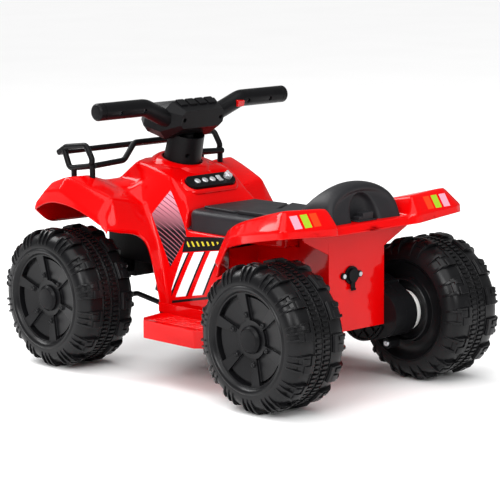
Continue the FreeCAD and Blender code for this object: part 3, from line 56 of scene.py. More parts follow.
class Value:
    """One shader value. Arithmetic on it adds the nodes."""

    def __init__(self, tree, socket):
        self.tree = tree
        self.socket = socket

    def node(self, kind, settings, inputs, output=0):
        made = self.tree.nodes.new("ShaderNode" + kind)
        for name, setting in settings.items():
            setattr(made, name, setting)
        for key, value in inputs.items():
            if isinstance(value, Value):
                self.tree.links.new(value.socket, made.inputs[key])
            else:
                made.inputs[key].default_value = value
        return Value(self.tree, made.outputs[output])

    def math(self, operation, *values):
        return self.node("Math", {"operation": operation}, dict(enumerate(values)))

    def __add__(self, other):
        return self.math("ADD", self, other)

    def __sub__(self, other):
        return self.math("SUBTRACT", self, other)

    def __rsub__(self, other):
        return self.math("SUBTRACT", other, self)

    def __mul__(self, other):
        return self.math("MULTIPLY", self, other)

    def __truediv__(self, other):
        return self.math("DIVIDE", self, other)

    def __mod__(self, other):
        return self.math("FLOORED_MODULO", self, other)

    def __lt__(self, other):
        return self.math("LESS_THAN", self, other)

    def __gt__(self, other):
        return self.math("GREATER_THAN", self, other)

    def __abs__(self):
        return self.math("ABSOLUTE", self)

    __radd__ = __add__
    __rmul__ = __mul__

    def mix(self, low, high):
        """The colour low where this value is 0 and high where it is 1."""
        return self.node("Mix", {"data_type": "RGBA"}, {0: self, 6: low, 7: high}, 2)

    def grain(self, scale, detail):
        """Noise from 0 to 1 over this vector."""
        return self.node("TexNoise", {}, {"Vector": self, "Scale": scale, "Detail": detail})

    def bump(self, strength, distance):
        return self.node("Bump", {}, {"Height": self, "Strength": strength, "Distance": distance})


def linear(red, green, blue):
    """A colour given in display steps of 255."""
    steps = [step / 255 for step in (red, green, blue)]
    return tuple(s / 12.92 if s <= 0.04045 else ((s + 0.055) / 1.055) ** 2.4 for s in steps) + (1.0,)


class Finish:
    """A plastic or metal finish with its own shader."""

    def __init__(self, name, **sockets):
        self.material = bpy.data.materials.new(name)
        self.material.use_nodes = True
        self.tree = self.material.node_tree
        self.shader = self.tree.nodes["Principled BSDF"]
        for key, value in sockets.items():
            self.shader.inputs[key.replace("_", " ")].default_value = value
        coordinates = self.tree.nodes.new("ShaderNodeTexCoord")
        self.place = Value(self.tree, coordinates.outputs["Object"])

    def axes(self):
        """The place along the bike, across it and up, in millimetres."""
        split = self.place.node("SeparateXYZ", {}, {0: self.place}).socket.node
        return [Value(self.tree, socket) * 1000.0 for socket in split.outputs]

    def feed(self, **values):
        for key, value in values.items():
            self.tree.links.new(value.socket, self.shader.inputs[key.replace("_", " ")])


# Noise that the finishes share, as scale and detail, and how it spreads over their roughness and grain.
CLOUD, GLOSS = (18.0, 3.0), (55.0, 2.0)
GLOSS_LEAST, GLOSS_SPREAD = 0.85, 0.3
GRAIN_DETAIL, GRAIN_STRENGTH = 3.0, 0.35


def moulded(name, dark, light, roughness, grain_scale, grain_depth, **sockets):
    """Moulded plastic: two close shades, uneven gloss and a fine grain."""
    finish = Finish(name, **sockets)
    finish.feed(Base_Color=finish.place.grain(*CLOUD).mix(dark, light),
                Roughness=finish.place.grain(*GLOSS) * (roughness * GLOSS_SPREAD) + roughness * GLOSS_LEAST,
                Normal=finish.place.grain(grain_scale, GRAIN_DETAIL).bump(GRAIN_STRENGTH, grain_depth))
    return finish


def spot(x, y, z):
    """A place given in millimetres."""
    return Vector((x, y, z)) * MM


BLACK = linear(11, 11, 12)
INK = linear(20, 20, 22)
WHITE = linear(238, 238, 242)
RED = linear(212, 1, 3)
DEEP_RED = linear(200, 1, 2)
GOLD = linear(196, 182, 52)
BAND_BLACK = linear(20, 18, 20)
STRIP_BLACK = linear(28, 20, 22)
BORDER_BLACK = linear(26, 22, 24)
# Pinstriped areas fade upwards: ground and line, each at the foot and at the top.
GROUND_FOOT, GROUND_TOP = linear(28, 22, 26), linear(236, 150, 166)
LINE_FOOT, LINE_TOP = linear(150, 92, 104), linear(96, 60, 72)

# Printed areas on the tank and legs, as corners along and up, in millimetres.
pinstripe_areas = [[(90, 268.5), (109.5, 232.6), (88.6, 199), (43, 214)],
                   [(88.6, 199), (62, 158), (53, 175), (36, 204), (43, 214)]]
side_band = [(40, 205.5), (-46, 214), (-39, 195), (41, 183)]
chevron_row = [(34, 199.5), (-36, 206.5), (-32, 201), (35, 191)]
white_panel = [(39, 182), (-39, 194), (-36, 162), (-29, 130), (56, 114.5), (56, 128)]
low_strip = [(54, 110), (-24, 126), (-24, 122), (54, 106)]
# The print lies between these distances from the middle.
PRINT_INSIDE, PRINT_OUTSIDE = 50.0, 112.0
# Pinstripes, chevrons and slanted bars: pitch, width and slant.
STRIPE_PITCH, STRIPE_WIDTH, STRIPE_SLANT = 6.0, 1.3, 0.5
FADE_FOOT, FADE_HEIGHT = 212.0, 50.0
CHEVRON_PITCH, CHEVRON_WIDTH, CHEVRON_SLANT = 11.0, 4.0, 0.9
ROW_MIDDLE, ROW_SLANT = 203.0, 0.1
BAR_PITCH, BAR_GAP, BAR_BORDER, BAR_SLANT = 33.0, 9.0, 13.0, 0.45
# Tail bars: inner and outer side, colour.
tail_bars = [(108, 121, linear(244, 58, 20)), (125, 138, linear(150, 184, 40)),
             (143, 157, linear(246, 150, 168))]
TAIL_END, TAIL_FOOT, TAIL_TOP = -244.0, 258.0, 275.0
# Shallow dents of the rear fenders: their middles, the square of their reach, how narrow and how deep.
fender_dents = [(-134, 139, 248), (-188, 152, 261), (-226, 158, 270)]
DENT_SQUARE, DENT_SQUEEZE, DENT_STRENGTH, DENT_DEPTH = 60.0, 3.0, 0.6, 1.5
# Noise of the red gloss, as scale and detail, and its shares.
RED_CLOUD, RED_GRAIN, RED_GLOSS = (14.0, 2.0), (260.0, 1.0), (40.0, 2.0)
RED_GRAIN_SHARE, RED_ROUGHNESS, RED_SPREAD = 0.05, 0.2, 0.06
# Pressed lines of the seat: where they run and how deep, and the seat's own shades and noise. The lines are
# also darkened with painted shade.
VEE_PITCH, VEE_WIDTH, VEE_SLANT, BORDER_SIDE, BORDER_WIDTH = 46.0, 2.4, 0.55, 56.0, 1.3
PRESSED_FOOT, PRESSED_END, PRESSED_STRENGTH, PRESSED_DEPTH = 235.0, -160.0, 0.5, 1.5
# The last seat shade is painted shade for the grooves of the pressed lines.
SEAT_DARK, SEAT_LIGHT, SEAT_GROOVE_SHADE = linear(26, 26, 29), linear(36, 36, 40), linear(12, 12, 13)
SEAT_GRAIN, SEAT_GRAIN_SHARE, SEAT_ROUGHNESS, SEAT_SPREAD = (600.0, 3.0), 0.2, 0.4, 0.1


def within(x, z, corners):
    """1 inside a convex area and 0 outside it."""
    pairs = list(zip(corners, corners[1:] + corners[:1]))
    turn = math.copysign(1, sum(x1 * z2 - x2 * z1 for (x1, z1), (x2, z2) in pairs))
    mask = 1.0
    for (x1, z1), (x2, z2) in pairs:
        mask = ((x - x1) * ((z1 - z2) * turn) + (z - z1) * ((x2 - x1) * turn) > 0.0) * mask
    return mask


def red_body_finish():
    """Gloss red with the printed side panels, the tail bars and the dents of the rear fender."""
    finish = Finish("red_gloss", Coat_Weight=0.32, Coat_Roughness=0.06, Specular_IOR_Level=0.03)
    x, y, z = finish.axes()
    colour = finish.place.grain(*RED_CLOUD).mix(DEEP_RED, RED)
    side = (abs(y) < PRINT_OUTSIDE) * (abs(y) > PRINT_INSIDE)
    pinstripe = (z - x * STRIPE_SLANT) % STRIPE_PITCH < STRIPE_WIDTH
    fade = (z - FADE_FOOT) / FADE_HEIGHT
    striped = pinstripe.mix(fade.mix(GROUND_FOOT, GROUND_TOP), fade.mix(LINE_FOOT, LINE_TOP))
    for corners in pinstripe_areas:
        colour = (within(x, z, corners) * side).mix(colour, striped)
    chevrons = (x + abs(z + x * ROW_SLANT - ROW_MIDDLE) * CHEVRON_SLANT) % CHEVRON_PITCH < CHEVRON_WIDTH
    colour = (within(x, z, side_band) * side).mix(colour, BAND_BLACK)
    colour = (within(x, z, chevron_row) * chevrons * side).mix(colour, GOLD)
    lean = (x + z * BAR_SLANT) % BAR_PITCH
    bars = (lean < BAR_GAP).mix((lean < BAR_BORDER).mix(WHITE, BORDER_BLACK), RED)
    colour = (within(x, z, white_panel) * side).mix(colour, bars)
    colour = (within(x, z, low_strip) * side).mix(colour, STRIP_BLACK)
    tail = (x < TAIL_END) * (z > TAIL_FOOT) * (z < TAIL_TOP)
    for low, high, ink in tail_bars:
        colour = (tail * (abs(y) > low) * (abs(y) < high)).mix(colour, ink)
    height = finish.place.grain(*RED_GRAIN) * RED_GRAIN_SHARE
    for dent in fender_dents:
        along, across, up = [(away - middle) * (away - middle) for away, middle in zip((x, abs(y), z), dent)]
        height = height - (along + across * DENT_SQUEEZE + up < DENT_SQUARE)
    finish.feed(Base_Color=colour,
                Roughness=finish.place.grain(*RED_GLOSS) * RED_SPREAD + RED_ROUGHNESS,
                Normal=height.bump(DENT_STRENGTH, DENT_DEPTH * MM))
    return finish


def seat_finish():
    """Grained black with the pressed V lines of the seat, bumped in and darkened with painted shade."""
    finish = Finish("seat_grain", IOR=1.42, Specular_IOR_Level=0.3)
    x, y, z = finish.axes()
    vee = (x + abs(y) * VEE_SLANT) % VEE_PITCH < VEE_WIDTH
    border = (abs(abs(y) - BORDER_SIDE) < BORDER_WIDTH) + vee * (abs(y) < BORDER_SIDE)
    groove_and_shade = border * (z > PRESSED_FOOT) * (x > PRESSED_END)
    height = finish.place.grain(*SEAT_GRAIN) * SEAT_GRAIN_SHARE - groove_and_shade
    plain = finish.place.grain(*CLOUD).mix(SEAT_DARK, SEAT_LIGHT)
    # The pressed lines take the darkest colour: painted shade in their grooves.
    finish.feed(Base_Color=groove_and_shade.mix(plain, SEAT_GROOVE_SHADE),
                Roughness=finish.place.grain(*GLOSS) * SEAT_SPREAD + SEAT_ROUGHNESS,
                Normal=height.bump(PRESSED_STRENGTH, PRESSED_DEPTH * MM))
    return finish


# Finishes by material slot: two shades, roughness, scale of the grain and its depth in metres.
finishes = {
    "red_plastic": moulded("red_plastic", DEEP_RED, RED, 0.24, 260.0, 0.00005, Coat_Weight=0.4,
                           Coat_Roughness=0.06, Specular_IOR_Level=0.03),
    "black_plastic": moulded("black_plastic", BLACK, INK, 0.36, 900.0, 0.0002, Specular_IOR_Level=0.1),
    "wheel_plastic": moulded("wheel_plastic", BLACK, INK, 0.3, 700.0, 0.0002, Specular_IOR_Level=0.2),
    "seat_plastic": moulded("seat_plastic", linear(26, 26, 28), linear(36, 36, 39), 0.46, 600.0, 0.0005,
                            Specular_IOR_Level=0.2),
    "silver_plastic": moulded("silver_plastic", linear(196, 198, 202), linear(226, 228, 232), 0.25, 500.0,
                              0.0002, Metallic=0.6),
    "signal_red": moulded("signal_red", linear(186, 6, 8), linear(220, 14, 16), 0.25, 400.0, 0.0002, IOR=1.5),
    "lens_plastic": moulded("lens_plastic", linear(226, 228, 226), linear(242, 244, 244), 0.12, 120.0, 0.0006,
                            Coat_Weight=0.4),
    "steel": moulded("steel", linear(168, 170, 174), linear(206, 208, 212), 0.28, 420.0, 0.0002,
                     Metallic=0.95),
    "white_nylon": moulded("white_nylon", linear(226, 226, 222), linear(244, 244, 242), 0.35, 400.0, 0.0002),
    "brass": moulded("brass", linear(186, 148, 66), linear(214, 178, 92), 0.3, 420.0, 0.0002, Metallic=0.9),
    "battery_case": moulded("battery_case", linear(44, 46, 50), linear(62, 64, 70), 0.4, 500.0, 0.0003),
}
red_body = red_body_finish()
seat_grain = seat_finish()


# Making pieces

# Reach in metres within which corners are joined, and bends in degrees: flat, and sharp enough to be rounded.
JOIN_REACH = 1e-6
FLAT_BEND, EDGE_BEND = 0.5, 32
RING_STEPS = 48


def merged(node):
    """A copy of a solid's surface with its corners joined."""
    bm = bmesh.new()
    bm.from_mesh(nodes[node].data)
    bmesh.ops.remove_doubles(bm, verts=bm.verts, dist=JOIN_REACH)
    return bm


def flattened(node):
    """The same copy with its triangles joined up to flat faces."""
    bm = merged(node)
    bmesh.ops.dissolve_limit(bm, angle_limit=math.radians(FLAT_BEND), use_dissolve_boundaries=False,
                             verts=bm.verts, edges=bm.edges)
    return bm


def piece(name, bm, body, slot, stands_for=(), finish=None, sharp=40, edge=0, steps=2, levels=0):
    """An object from a bmesh: rounded edges in millimetres, or subdivision, and smooth shading."""
    mesh = bpy.data.meshes.new(name)
    bm.to_mesh(mesh)
    bm.free()
    mesh.shade_smooth()
    if sharp < 180:
        mesh.set_sharp_from_angle(angle=math.radians(sharp))
    obj = bpy.data.objects.new(name, mesh)
    bpy.context.scene.collection.objects.link(obj)
    mesh.materials.append((finish or finishes[slot]).material)
    if edge:
        bevel = obj.modifiers.new("rounded edges", "BEVEL")
        bevel.width = edge * MM
        bevel.segments = steps
        bevel.limit_method = "ANGLE"
        bevel.angle_limit = math.radians(EDGE_BEND)
        bevel.harden_normals = True
        bevel.miter_outer = "MITER_ARC"
    if levels:
        smooth = obj.modifiers.new("smooth skin", "SUBSURF")
        smooth.levels = levels
        smooth.render_levels = levels
    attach(obj, body)
    if stands_for:
        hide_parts(*stands_for)
    return obj


def outward(bm):
    """Joins doubled corners and turns the faces outwards."""
    bmesh.ops.remove_doubles(bm, verts=bm.verts, dist=JOIN_REACH)
    bmesh.ops.recalc_face_normals(bm, faces=bm.faces)


def moved(bm, verts, step):
    bmesh.ops.translate(bm, verts=verts, vec=step)


def only(geom, kind):
    return [part for part in geom if isinstance(part, kind)]


def circle_edges(verts):
    """The edges of a circle, each once and in order."""
    return list(dict.fromkeys(edge for vert in verts for edge in vert.link_edges))


def full_turn(bm, geom, axis, steps):
    """Spins a section all the way round."""
    bmesh.ops.spin(bm, geom=geom, cent=(0, 0, 0), axis=axis, angle=math.tau, steps=steps, use_merge=True,
                   use_normal_flip=False, use_duplicate=False)


def block(bm, size, place, turn=Matrix(), carried=Matrix()):
    """A block in millimetres, turned about its middle, put in place and then carried round."""
    shape = Matrix.Diagonal([side * MM for side in size] + [1])
    bmesh.ops.create_cube(bm, size=1, matrix=carried @ Matrix.Translation(spot(*place)) @ turn @ shape)


def peg(bm, sides, foot, head, depth, stand):
    """A peg in millimetres along the stand's own Z, round or with flat sides."""
    bmesh.ops.create_cone(bm, cap_ends=True, cap_tris=False, segments=sides, radius1=foot * MM,
                          radius2=head * MM, depth=depth * MM, matrix=stand)


def slab(bm, corners, step):
    """A flat face through the corners, grown by a step."""
    base = bm.faces.new([bm.verts.new(corner) for corner in corners])
    grown = bmesh.ops.extrude_face_region(bm, geom=[base])["geom"]
    moved(bm, only(grown, bmesh.types.BMVert), step)


def bent_bar(bm, points, radius, bend, sides=16, steps=6):
    """A round bar through the points, with round bends and closed ends."""
    ahead = (points[1] - points[0]).normalized()
    stand = Matrix.Translation(points[0]) @ ahead.to_track_quat("Z", "Y").to_matrix().to_4x4()
    ring = bmesh.ops.create_circle(bm, cap_ends=True, segments=sides, radius=radius, matrix=stand)["verts"]
    edges = circle_edges(ring)
    here = points[0]
    for i, knee in enumerate(points[1:], start=1):
        setback = 0
        if i < len(points) - 1:
            after = (points[i + 1] - knee).normalized()
            turn = ahead.angle(after)
            setback = bend * math.tan(turn / 2)
        stop = knee - ahead * setback
        grown = bmesh.ops.extrude_edge_only(bm, edges=edges)["geom"]
        moved(bm, only(grown, bmesh.types.BMVert), stop - here)
        edges = only(grown, bmesh.types.BMEdge)
        here = stop
        if setback:
            axis = ahead.cross(after).normalized()
            centre = stop + axis.cross(ahead) * bend
            turned = bmesh.ops.spin(bm, geom=edges, cent=centre, axis=axis, angle=turn, steps=steps,
                                    use_merge=False, use_normal_flip=False, use_duplicate=False)
            edges = only(turned["geom_last"], bmesh.types.BMEdge)
            here = knee + after * setback
            ahead = after
    bmesh.ops.holes_fill(bm, edges=edges, sides=0)


def mirrored(bm):
    """Adds the right-hand half to a left-hand half."""
    copy = bmesh.ops.duplicate(bm, geom=bm.verts[:] + bm.edges[:] + bm.faces[:])["geom"]
    bmesh.ops.scale(bm, verts=only(copy, bmesh.types.BMVert), vec=(1, -1, 1))
    outward(bm)


# Red body

SKIN_WALL = 3
# Two triangles make one cell up to this bend in degrees.
CELL_BEND = 50
# Faces at the open rims are narrower than this and don't look up more than this.
RIM_WIDTH, RIM_UPWARD = 4.8, 0.5
RIM_CREASE = 0.65
# Creases of the skin: the bend in degrees above which each is given, and its weight.
bend_creases = [(34, 0.72), (18, 0.56)]


def body_skin():
    """The outer side of the body solid, without its rims, as a creased cage for smoothing."""
    bm = merged("body_shell")
    bmesh.ops.join_triangles(bm, faces=bm.faces, angle_face_threshold=math.radians(CELL_BEND),
                             angle_shape_threshold=math.radians(180))
    rims = [face for face in bm.faces
            if face.normal.z < RIM_UPWARD and min(edge.calc_length() for edge in face.edges) < RIM_WIDTH * MM]
    bmesh.ops.delete(bm, geom=rims, context="FACES")
    top = max(bm.verts, key=lambda vert: vert.co.z)
    skin = set(top.link_faces)
    front = list(skin)
    while front:
        for edge in front.pop().edges:
            fresh = [face for face in edge.link_faces if face not in skin]
            skin.update(fresh)
            front += fresh
    bmesh.ops.delete(bm, geom=[face for face in bm.faces if face not in skin], context="FACES")
    crease = bm.edges.layers.float.new("crease_edge")
    for edge in bm.edges:
        if edge.is_boundary:
            edge[crease] = RIM_CREASE
        else:
            bend = math.degrees(edge.calc_face_angle(0))
            edge[crease] = next((weight for least, weight in bend_creases if bend > least), 0)
    return bm


skin = piece("body_skin", body_skin(), "chassis", "red_plastic", ["body_shell"], red_body, sharp=180,
             levels=3)
wall = skin.modifiers.new("wall", "SOLIDIFY")
wall.thickness = SKIN_WALL * MM
wall.offset = -1


# Wheels

# Steps round a wheel, lugs round it and teeth beside each lug.
SECTORS = 72
LUGS = 14
TEETH = 6
# Half section of a wheel: radius and side, outer side positive, in millimetres.
tyre_section = [(14, 39.5), (25.2, 39.5), (27.3, 39.9), (50, 43.3), (59.5, 44.7), (61.5, 45), (64.5, 45.4),
                (66.4, 45.9), (68.4, 49.4), (70.4, 51.2), (72.2, 52), (74, 52), (75.2, 51), (76.4, 50.2),
                (78.4, 50.3), (85, 49.8), (91, 46.8), (95.5, 42), (97.8, 35), (98.8, 26), (99, 16.8),
                (100.6, 16.4), (100.6, 15.2), (98.4, 14.8), (98.4, 1.2), (100, 0.8), (100, -0.8), (98.4, -1.2),
                (98.4, -14.8), (100.6, -15.2), (100.6, -16.4), (99, -16.8), (98.8, -26), (97.8, -35),
                (95.5, -42), (91, -46.8), (85, -50), (78, -51.6), (75.8, -52), (74.8, -51), (73.6, -51.2)]
# The inner side of the hub, deep round the front knuckles and shallow at the rear.
hub_inside = {
    "front": [(71, -49.5), (66, -42), (61.5, -30), (59, -20.5), (56, -18.7), (46, -17.8), (45, -19.2),
              (43, -19.2), (42, -17.4), (34, -17.2), (22, -17.2)],
    "rear": [(71.5, -48), (68, -43.6), (62, -41.4), (50, -40.6), (47.6, -41.4), (46.6, -50.6), (45.2, -51.8),
             (43.6, -51.2), (42.2, -46), (32, -44.4), (30.6, -46.6), (24, -46.8), (20, -45.6), (19.6, -18)],
}
rib_section = [(96, 37.6), (103, 38), (101.2, 42), (97.8, 45.4), (92.2, 48.9), (86, 51), (82, 51), (84, 48),
               (92, 44)]
# Parts of a tread lug: first and last angle, section.
lug_parts = [
    (0, 14.2, [(97.6, 17.2), (102.6, 17.4), (103.2, 18.4), (103.2, 33), (101.6, 38.4), (97, 42), (94, 41.5),
               (96.6, 34)]),
    (0, 14.2, [(98, 17.9), (104.2, 18.1), (104.9, 19), (104.9, 24.4), (98, 24.6)]),
    (0, 6.4, [(98, 24), (105, 24), (105, 32.6), (103.8, 35.6), (97, 35.6)]),
    (8.8, 12.2, [(98, 27.6), (104.8, 27.9), (104.8, 35), (102.6, 39.4), (96, 39.4)]),
]
outer_ribs, inner_ribs = ((0.4, 2.2), (6, 7.8), (11.8, 13.6)), ((0.6, 2.8), (10.8, 13))
# Pattern of the hub, in degrees, and its pockets: inner and outer radius, depth.
POCKET_START, POCKET_ANGLE, PATTERN_STEP, BOLT_ANGLE = -12, 45, 60, 54
pocket_steps = [(27, 64.6, 4.5), (59.4, 64.6, 5)]
# The outer face of the hub lies farther out than this and looks outwards by at least this.
HUB_FACE_SIDE, HUB_FACE_OUTWARD = 30, 0.9
# Bolts of the hub: place, radius at foot and head, depth and dome. Teeth of the tread: size and place.
BOLT_RADIUS, BOLT_SIDE = 35, 41.2
BOLT_FOOT, BOLT_HEAD, BOLT_DEPTH, BOLT_DOME = 5.2, 4.8, 1.6, 3.9
TOOTH_SIZE, TOOTH_RADIUS, TOOTH_SIDE = (4.6, 9.4, 4), 98.8, 8
drive_ring_section = [(20, -112), (30, -112), (30, -105), (20, -105)]


def around_axle(angle):
    return Matrix.Rotation(math.radians(angle), 4, "Y")


def section_edges(bm, spots, closed):
    """A section's corners, with its face where it is closed and else its edges."""
    verts = [bm.verts.new((radius * MM, side * MM, 0)) for radius, side in spots]
    edges = [bm.edges.new(pair) for pair in zip(verts, verts[1:])]
    return verts, [bm.faces.new(verts)] if closed else edges


def polar(face):
    """Radius, angle and side of a face's middle, about the axle."""
    middle = face.calc_center_median() / MM
    return math.hypot(middle.x, middle.z), math.degrees(math.atan2(-middle.z, middle.x)) % 360, middle.y


def turned_part(bm, section, start, stop, steps=2):
    """A closed section swept round the axle from one angle to another."""
    verts, faces = section_edges(bm, section, True)
    bmesh.ops.transform(bm, matrix=around_axle(start), verts=verts)
    bmesh.ops.spin(bm, geom=faces, cent=(0, 0, 0), axis=(0, 1, 0), angle=math.radians(stop - start),
                   steps=steps, use_merge=False, use_normal_flip=False, use_duplicate=False)


def hub_pockets(bm):
    """The fan pockets between the spokes and the slots at their outer ends."""
    for low, high, depth in pocket_steps:
        fans = []
        for face in bm.faces:
            radius, angle, side = polar(face)
            turn = (angle - POCKET_START) % PATTERN_STEP
            outer = side > HUB_FACE_SIDE and face.normal.y > HUB_FACE_OUTWARD
            if outer and low < radius < high and turn < POCKET_ANGLE:
                fans.append(face)
        grown = bmesh.ops.extrude_face_region(bm, geom=fans)["geom"]
        moved(bm, only(grown, bmesh.types.BMVert), (0, -depth * MM, 0))
        bmesh.ops.delete(bm, geom=fans, context="FACES")


def hub_bolts(bm):
    """Domed bolts between the pockets."""
    lying = Matrix.Rotation(-math.pi / 2, 4, "X")
    for turn in range(0, 360, PATTERN_STEP):
        place = Matrix.Translation(spot(BOLT_RADIUS, BOLT_SIDE, 0))
        stand = around_axle(turn + POCKET_START + BOLT_ANGLE) @ place @ lying
        peg(bm, 14, BOLT_FOOT, BOLT_HEAD, BOLT_DEPTH, stand)
        bmesh.ops.create_uvsphere(bm, u_segments=12, v_segments=8, radius=BOLT_DOME * MM,
                                  matrix=stand @ Matrix.Translation(spot(0, 0, BOLT_DEPTH / 2)))


def tread(bm):
    """The lugs and the two rows of teeth, made for one lug and copied round the tyre."""
    for side, ribs in ((1, outer_ribs), (-1, inner_ribs)):
        turn = 90 / LUGS * side
        for start, stop, section in lug_parts + [(start, stop, rib_section) for start, stop in ribs]:
            turned_part(bm, [(radius, side * place) for radius, place in section], turn + start, turn + stop)
        for i in range(TEETH):
            carried = around_axle((360 * i + 90 * side) / (LUGS * TEETH))
            block(bm, TOOTH_SIZE, (TOOTH_RADIUS, side * TOOTH_SIDE, 0), carried=carried)
    bmesh.ops.spin(bm, geom=bm.verts[:] + bm.edges[:] + bm.faces[:], cent=(0, 0, 0), axis=(0, 1, 0),
                   angle=math.tau * (LUGS - 1) / LUGS, steps=LUGS - 1, use_merge=False, use_normal_flip=False,
                   use_duplicate=True)


def wheel(end):
    """One wheel about its own centre, its outer side to +Y."""
    bm = bmesh.new()
    verts, edges = section_edges(bm, tyre_section + hub_inside[end], False)
    full_turn(bm, verts + edges, (0, 1, 0), SECTORS)
    outward(bm)
    hub_pockets(bm)
    hub_bolts(bm)
    blocks = bmesh.new()
    tread(blocks)
    mesh = bpy.data.meshes.new("tread")
    blocks.to_mesh(mesh)
    blocks.free()
    bm.from_mesh(mesh)
    bpy.data.meshes.remove(mesh)
    outward(bm)
    return bm


def wheels():
    """The four wheels, the right ones mirrored from the left."""
    for end in ("front", "rear"):
        left = wheel(end)
        right = left.copy()
        bmesh.ops.scale(right, verts=right.verts, vec=(1, -1, 1))
        bmesh.ops.reverse_faces(right, faces=right.faces)
        for name, bm in (("left", left), ("right", right)):
            node = "wheel_" + end + "_" + name
            moved(bm, bm.verts, hinge_place[home[node]])
            piece("tyre_" + end + "_" + name, bm, home[node], "wheel_plastic", [node], edge=0.6, sharp=35)


def drive_ring():
    """The white ring between the gearbox and the driven wheel."""
    bm = bmesh.new()
    verts, edges = section_edges(bm, drive_ring_section, False)
    full_turn(bm, verts + edges, (0, 1, 0), RING_STEPS)
    axle = hinge_place[home["wheel_rear_right"]]
    moved(bm, bm.verts, (axle.x, 0, axle.z))
    outward(bm)
    return bm


piece("drive_ring", drive_ring(), home["wheel_rear_right"], "white_nylon", edge=0.5)
wheels()


# Rack, backrest, seat pads and dash rim

# Front carrier: its side loop along and up, its posts with top and foot, and half of its saddle bar.
RACK_SIDE, CROSS_OVERRUN = 130, 0.5
BAR_RADIUS, POST_RADIUS, LOOP_BEND, SADDLE_BEND = 4.5, 4.4, 9, 12
rack_loop = [(276, 315), (258, 325), (210, 331), (190, 302), (250, 293), (263, 321.6)]
rack_posts = [(240, 295, 278), (196, 302, 279)]
rack_saddle = [(190, RACK_SIDE, 302), (190, 73, 305), (192, 50, 330)]


def rack():
    """The front carrier's bars: a loop on two posts at each side, joined across."""
    bm = bmesh.new()
    bent_bar(bm, [spot(x, RACK_SIDE, z) for x, z in rack_loop], BAR_RADIUS * MM, LOOP_BEND * MM)
    for x, top, foot in rack_posts:
        bent_bar(bm, [spot(x, RACK_SIDE, top), spot(x, RACK_SIDE, foot)], POST_RADIUS * MM, 0)
    mirrored(bm)
    x, z = rack_loop[0]
    reach = RACK_SIDE + CROSS_OVERRUN
    bent_bar(bm, [spot(x, reach, z), spot(x, -reach, z)], BAR_RADIUS * MM, 0)
    saddle = rack_saddle + [(x, -y, z) for x, y, z in reversed(rack_saddle)]
    bent_bar(bm, [spot(*point) for point in saddle], BAR_RADIUS * MM, SADDLE_BEND * MM)
    outward(bm)
    return bm


piece("front_carrier_bars", rack(), "chassis", "black_plastic", ["front_rack"], sharp=50)


# Rows of the backrest from front to rear: foot and top along the bike, share of width, of height, roundness.
cushion_rows = [(-168, -208, 0, 0.3, 0.8), (-166, -206, 0.6, 0.5, 0.8), (-164, -205, 0.86, 0.8, 0.75),
                (-168, -208, 0.98, 0.96, 0.72), (-180, -213, 1.02, 1.06, 0.7), (-212, -225, 1.03, 1.08, 0.7),
                (-240, -236, 1.03, 1.04, 0.7), (-250, -240, 1, 0.97, 0.72), (-253, -240.5, 0.94, 0.88, 0.75),
                (-251, -237, 0.86, 0.82, 0.75), (-250, -236, 0.55, 0.8, 0.7), (-249.5, -236, 0.42, 0.78, 0.85),
                (-247, -233, 0.38, 0.75, 0.85), (-230, -226, 0.34, 0.7, 0.85), (-229, -225, 0, 0.4, 0.85)]
CUSHION_SIDE, CUSHION_FOOT, CUSHION_RISE = 70, 251.2, 50.6
CUSHION_STEPS, CUSHION_LEAN = 16, 1.5
# Blocks at the foot of its pocket: middle and length along, middle and width across, top.
pocket_blocks = [(-239, 28, 0, 38, 252.8), (-243, 13, -4, 20, 263), (-243, 13, 10, 8, 258)]


def back_cushion():
    """The arched backrest with its framed rear panel and pocket, open below."""
    bm = bmesh.new()
    bmesh.ops.spin(bm, geom=[bm.verts.new((0, 1, 0))], cent=(0, 0, 0), axis=(1, 0, 0), angle=math.pi,
                   steps=CUSHION_STEPS, use_merge=False, use_normal_flip=False, use_duplicate=False)
    edges = bm.edges[:]
    for i in range(len(cushion_rows) - 1):
        grown = bmesh.ops.extrude_edge_only(bm, edges=edges)["geom"]
        edges = only(grown, bmesh.types.BMEdge)
        moved(bm, only(grown, bmesh.types.BMVert), (1, 0, 0))
    for vert in bm.verts:
        foot, top, width, height, roundness = cushion_rows[round(vert.co.x)]
        rise = max(vert.co.z, 0) ** roundness
        along = top + (foot - top) * max(1 - rise * height, 0) ** CUSHION_LEAN
        vert.co = spot(along, CUSHION_SIDE * width * vert.co.y, CUSHION_FOOT + CUSHION_RISE * height * rise)
    outward(bm)
    return bm


piece("back_cushion", back_cushion(), "chassis", "seat_plastic", ["backrest"], sharp=180, levels=2)


def pocket_block():
    """The small stepped block at the foot of the backrest pocket."""
    bm = bmesh.new()
    for x, length, y, width, top in pocket_blocks:
        block(bm, (length, width, top - CUSHION_FOOT), (x, y, (top + CUSHION_FOOT) / 2))
    return bm


piece("pocket_block", pocket_block(), "chassis", "seat_plastic", edge=0.8)

# Outlines of the seat pads, along and across, and their height over the seat.
SEAT_TOP, PAD_SINK = 245, 1.4
seat_pads = {"front": ([(34, 52), (-34, 56), (-66, 2), (-66, -2), (-34, -56), (34, -52)], 4),
             "rear": ([(-42, 56), (-150, 52), (-150, -52), (-42, -56), (-74, -2), (-74, 2)], 6)}
for place, (outline, height) in seat_pads.items():
    bm = bmesh.new()
    slab(bm, [spot(x, y, SEAT_TOP - PAD_SINK) for x, y in outline], spot(0, 0, height + PAD_SINK))
    outward(bm)
    piece("seat_pad_" + place, bm, "chassis", "seat_plastic", edge=2.6, steps=4)


# Rim of the dash: reach from the panel's end circles, height over the panel, half distance of those circles.
dash_rim_rows = [(13.4, -2), (13.6, 1.4), (14.6, 2), (16, 1.8), (18.5, 0.2), (20, -2)]
DASH_HALF = 34
DASH_MIDDLE, DASH_UP, DASH_OUT = (77.6, 0, 274.6), Vector((0.841, 0, 0.541)), Vector((-0.541, 0, 0.841))


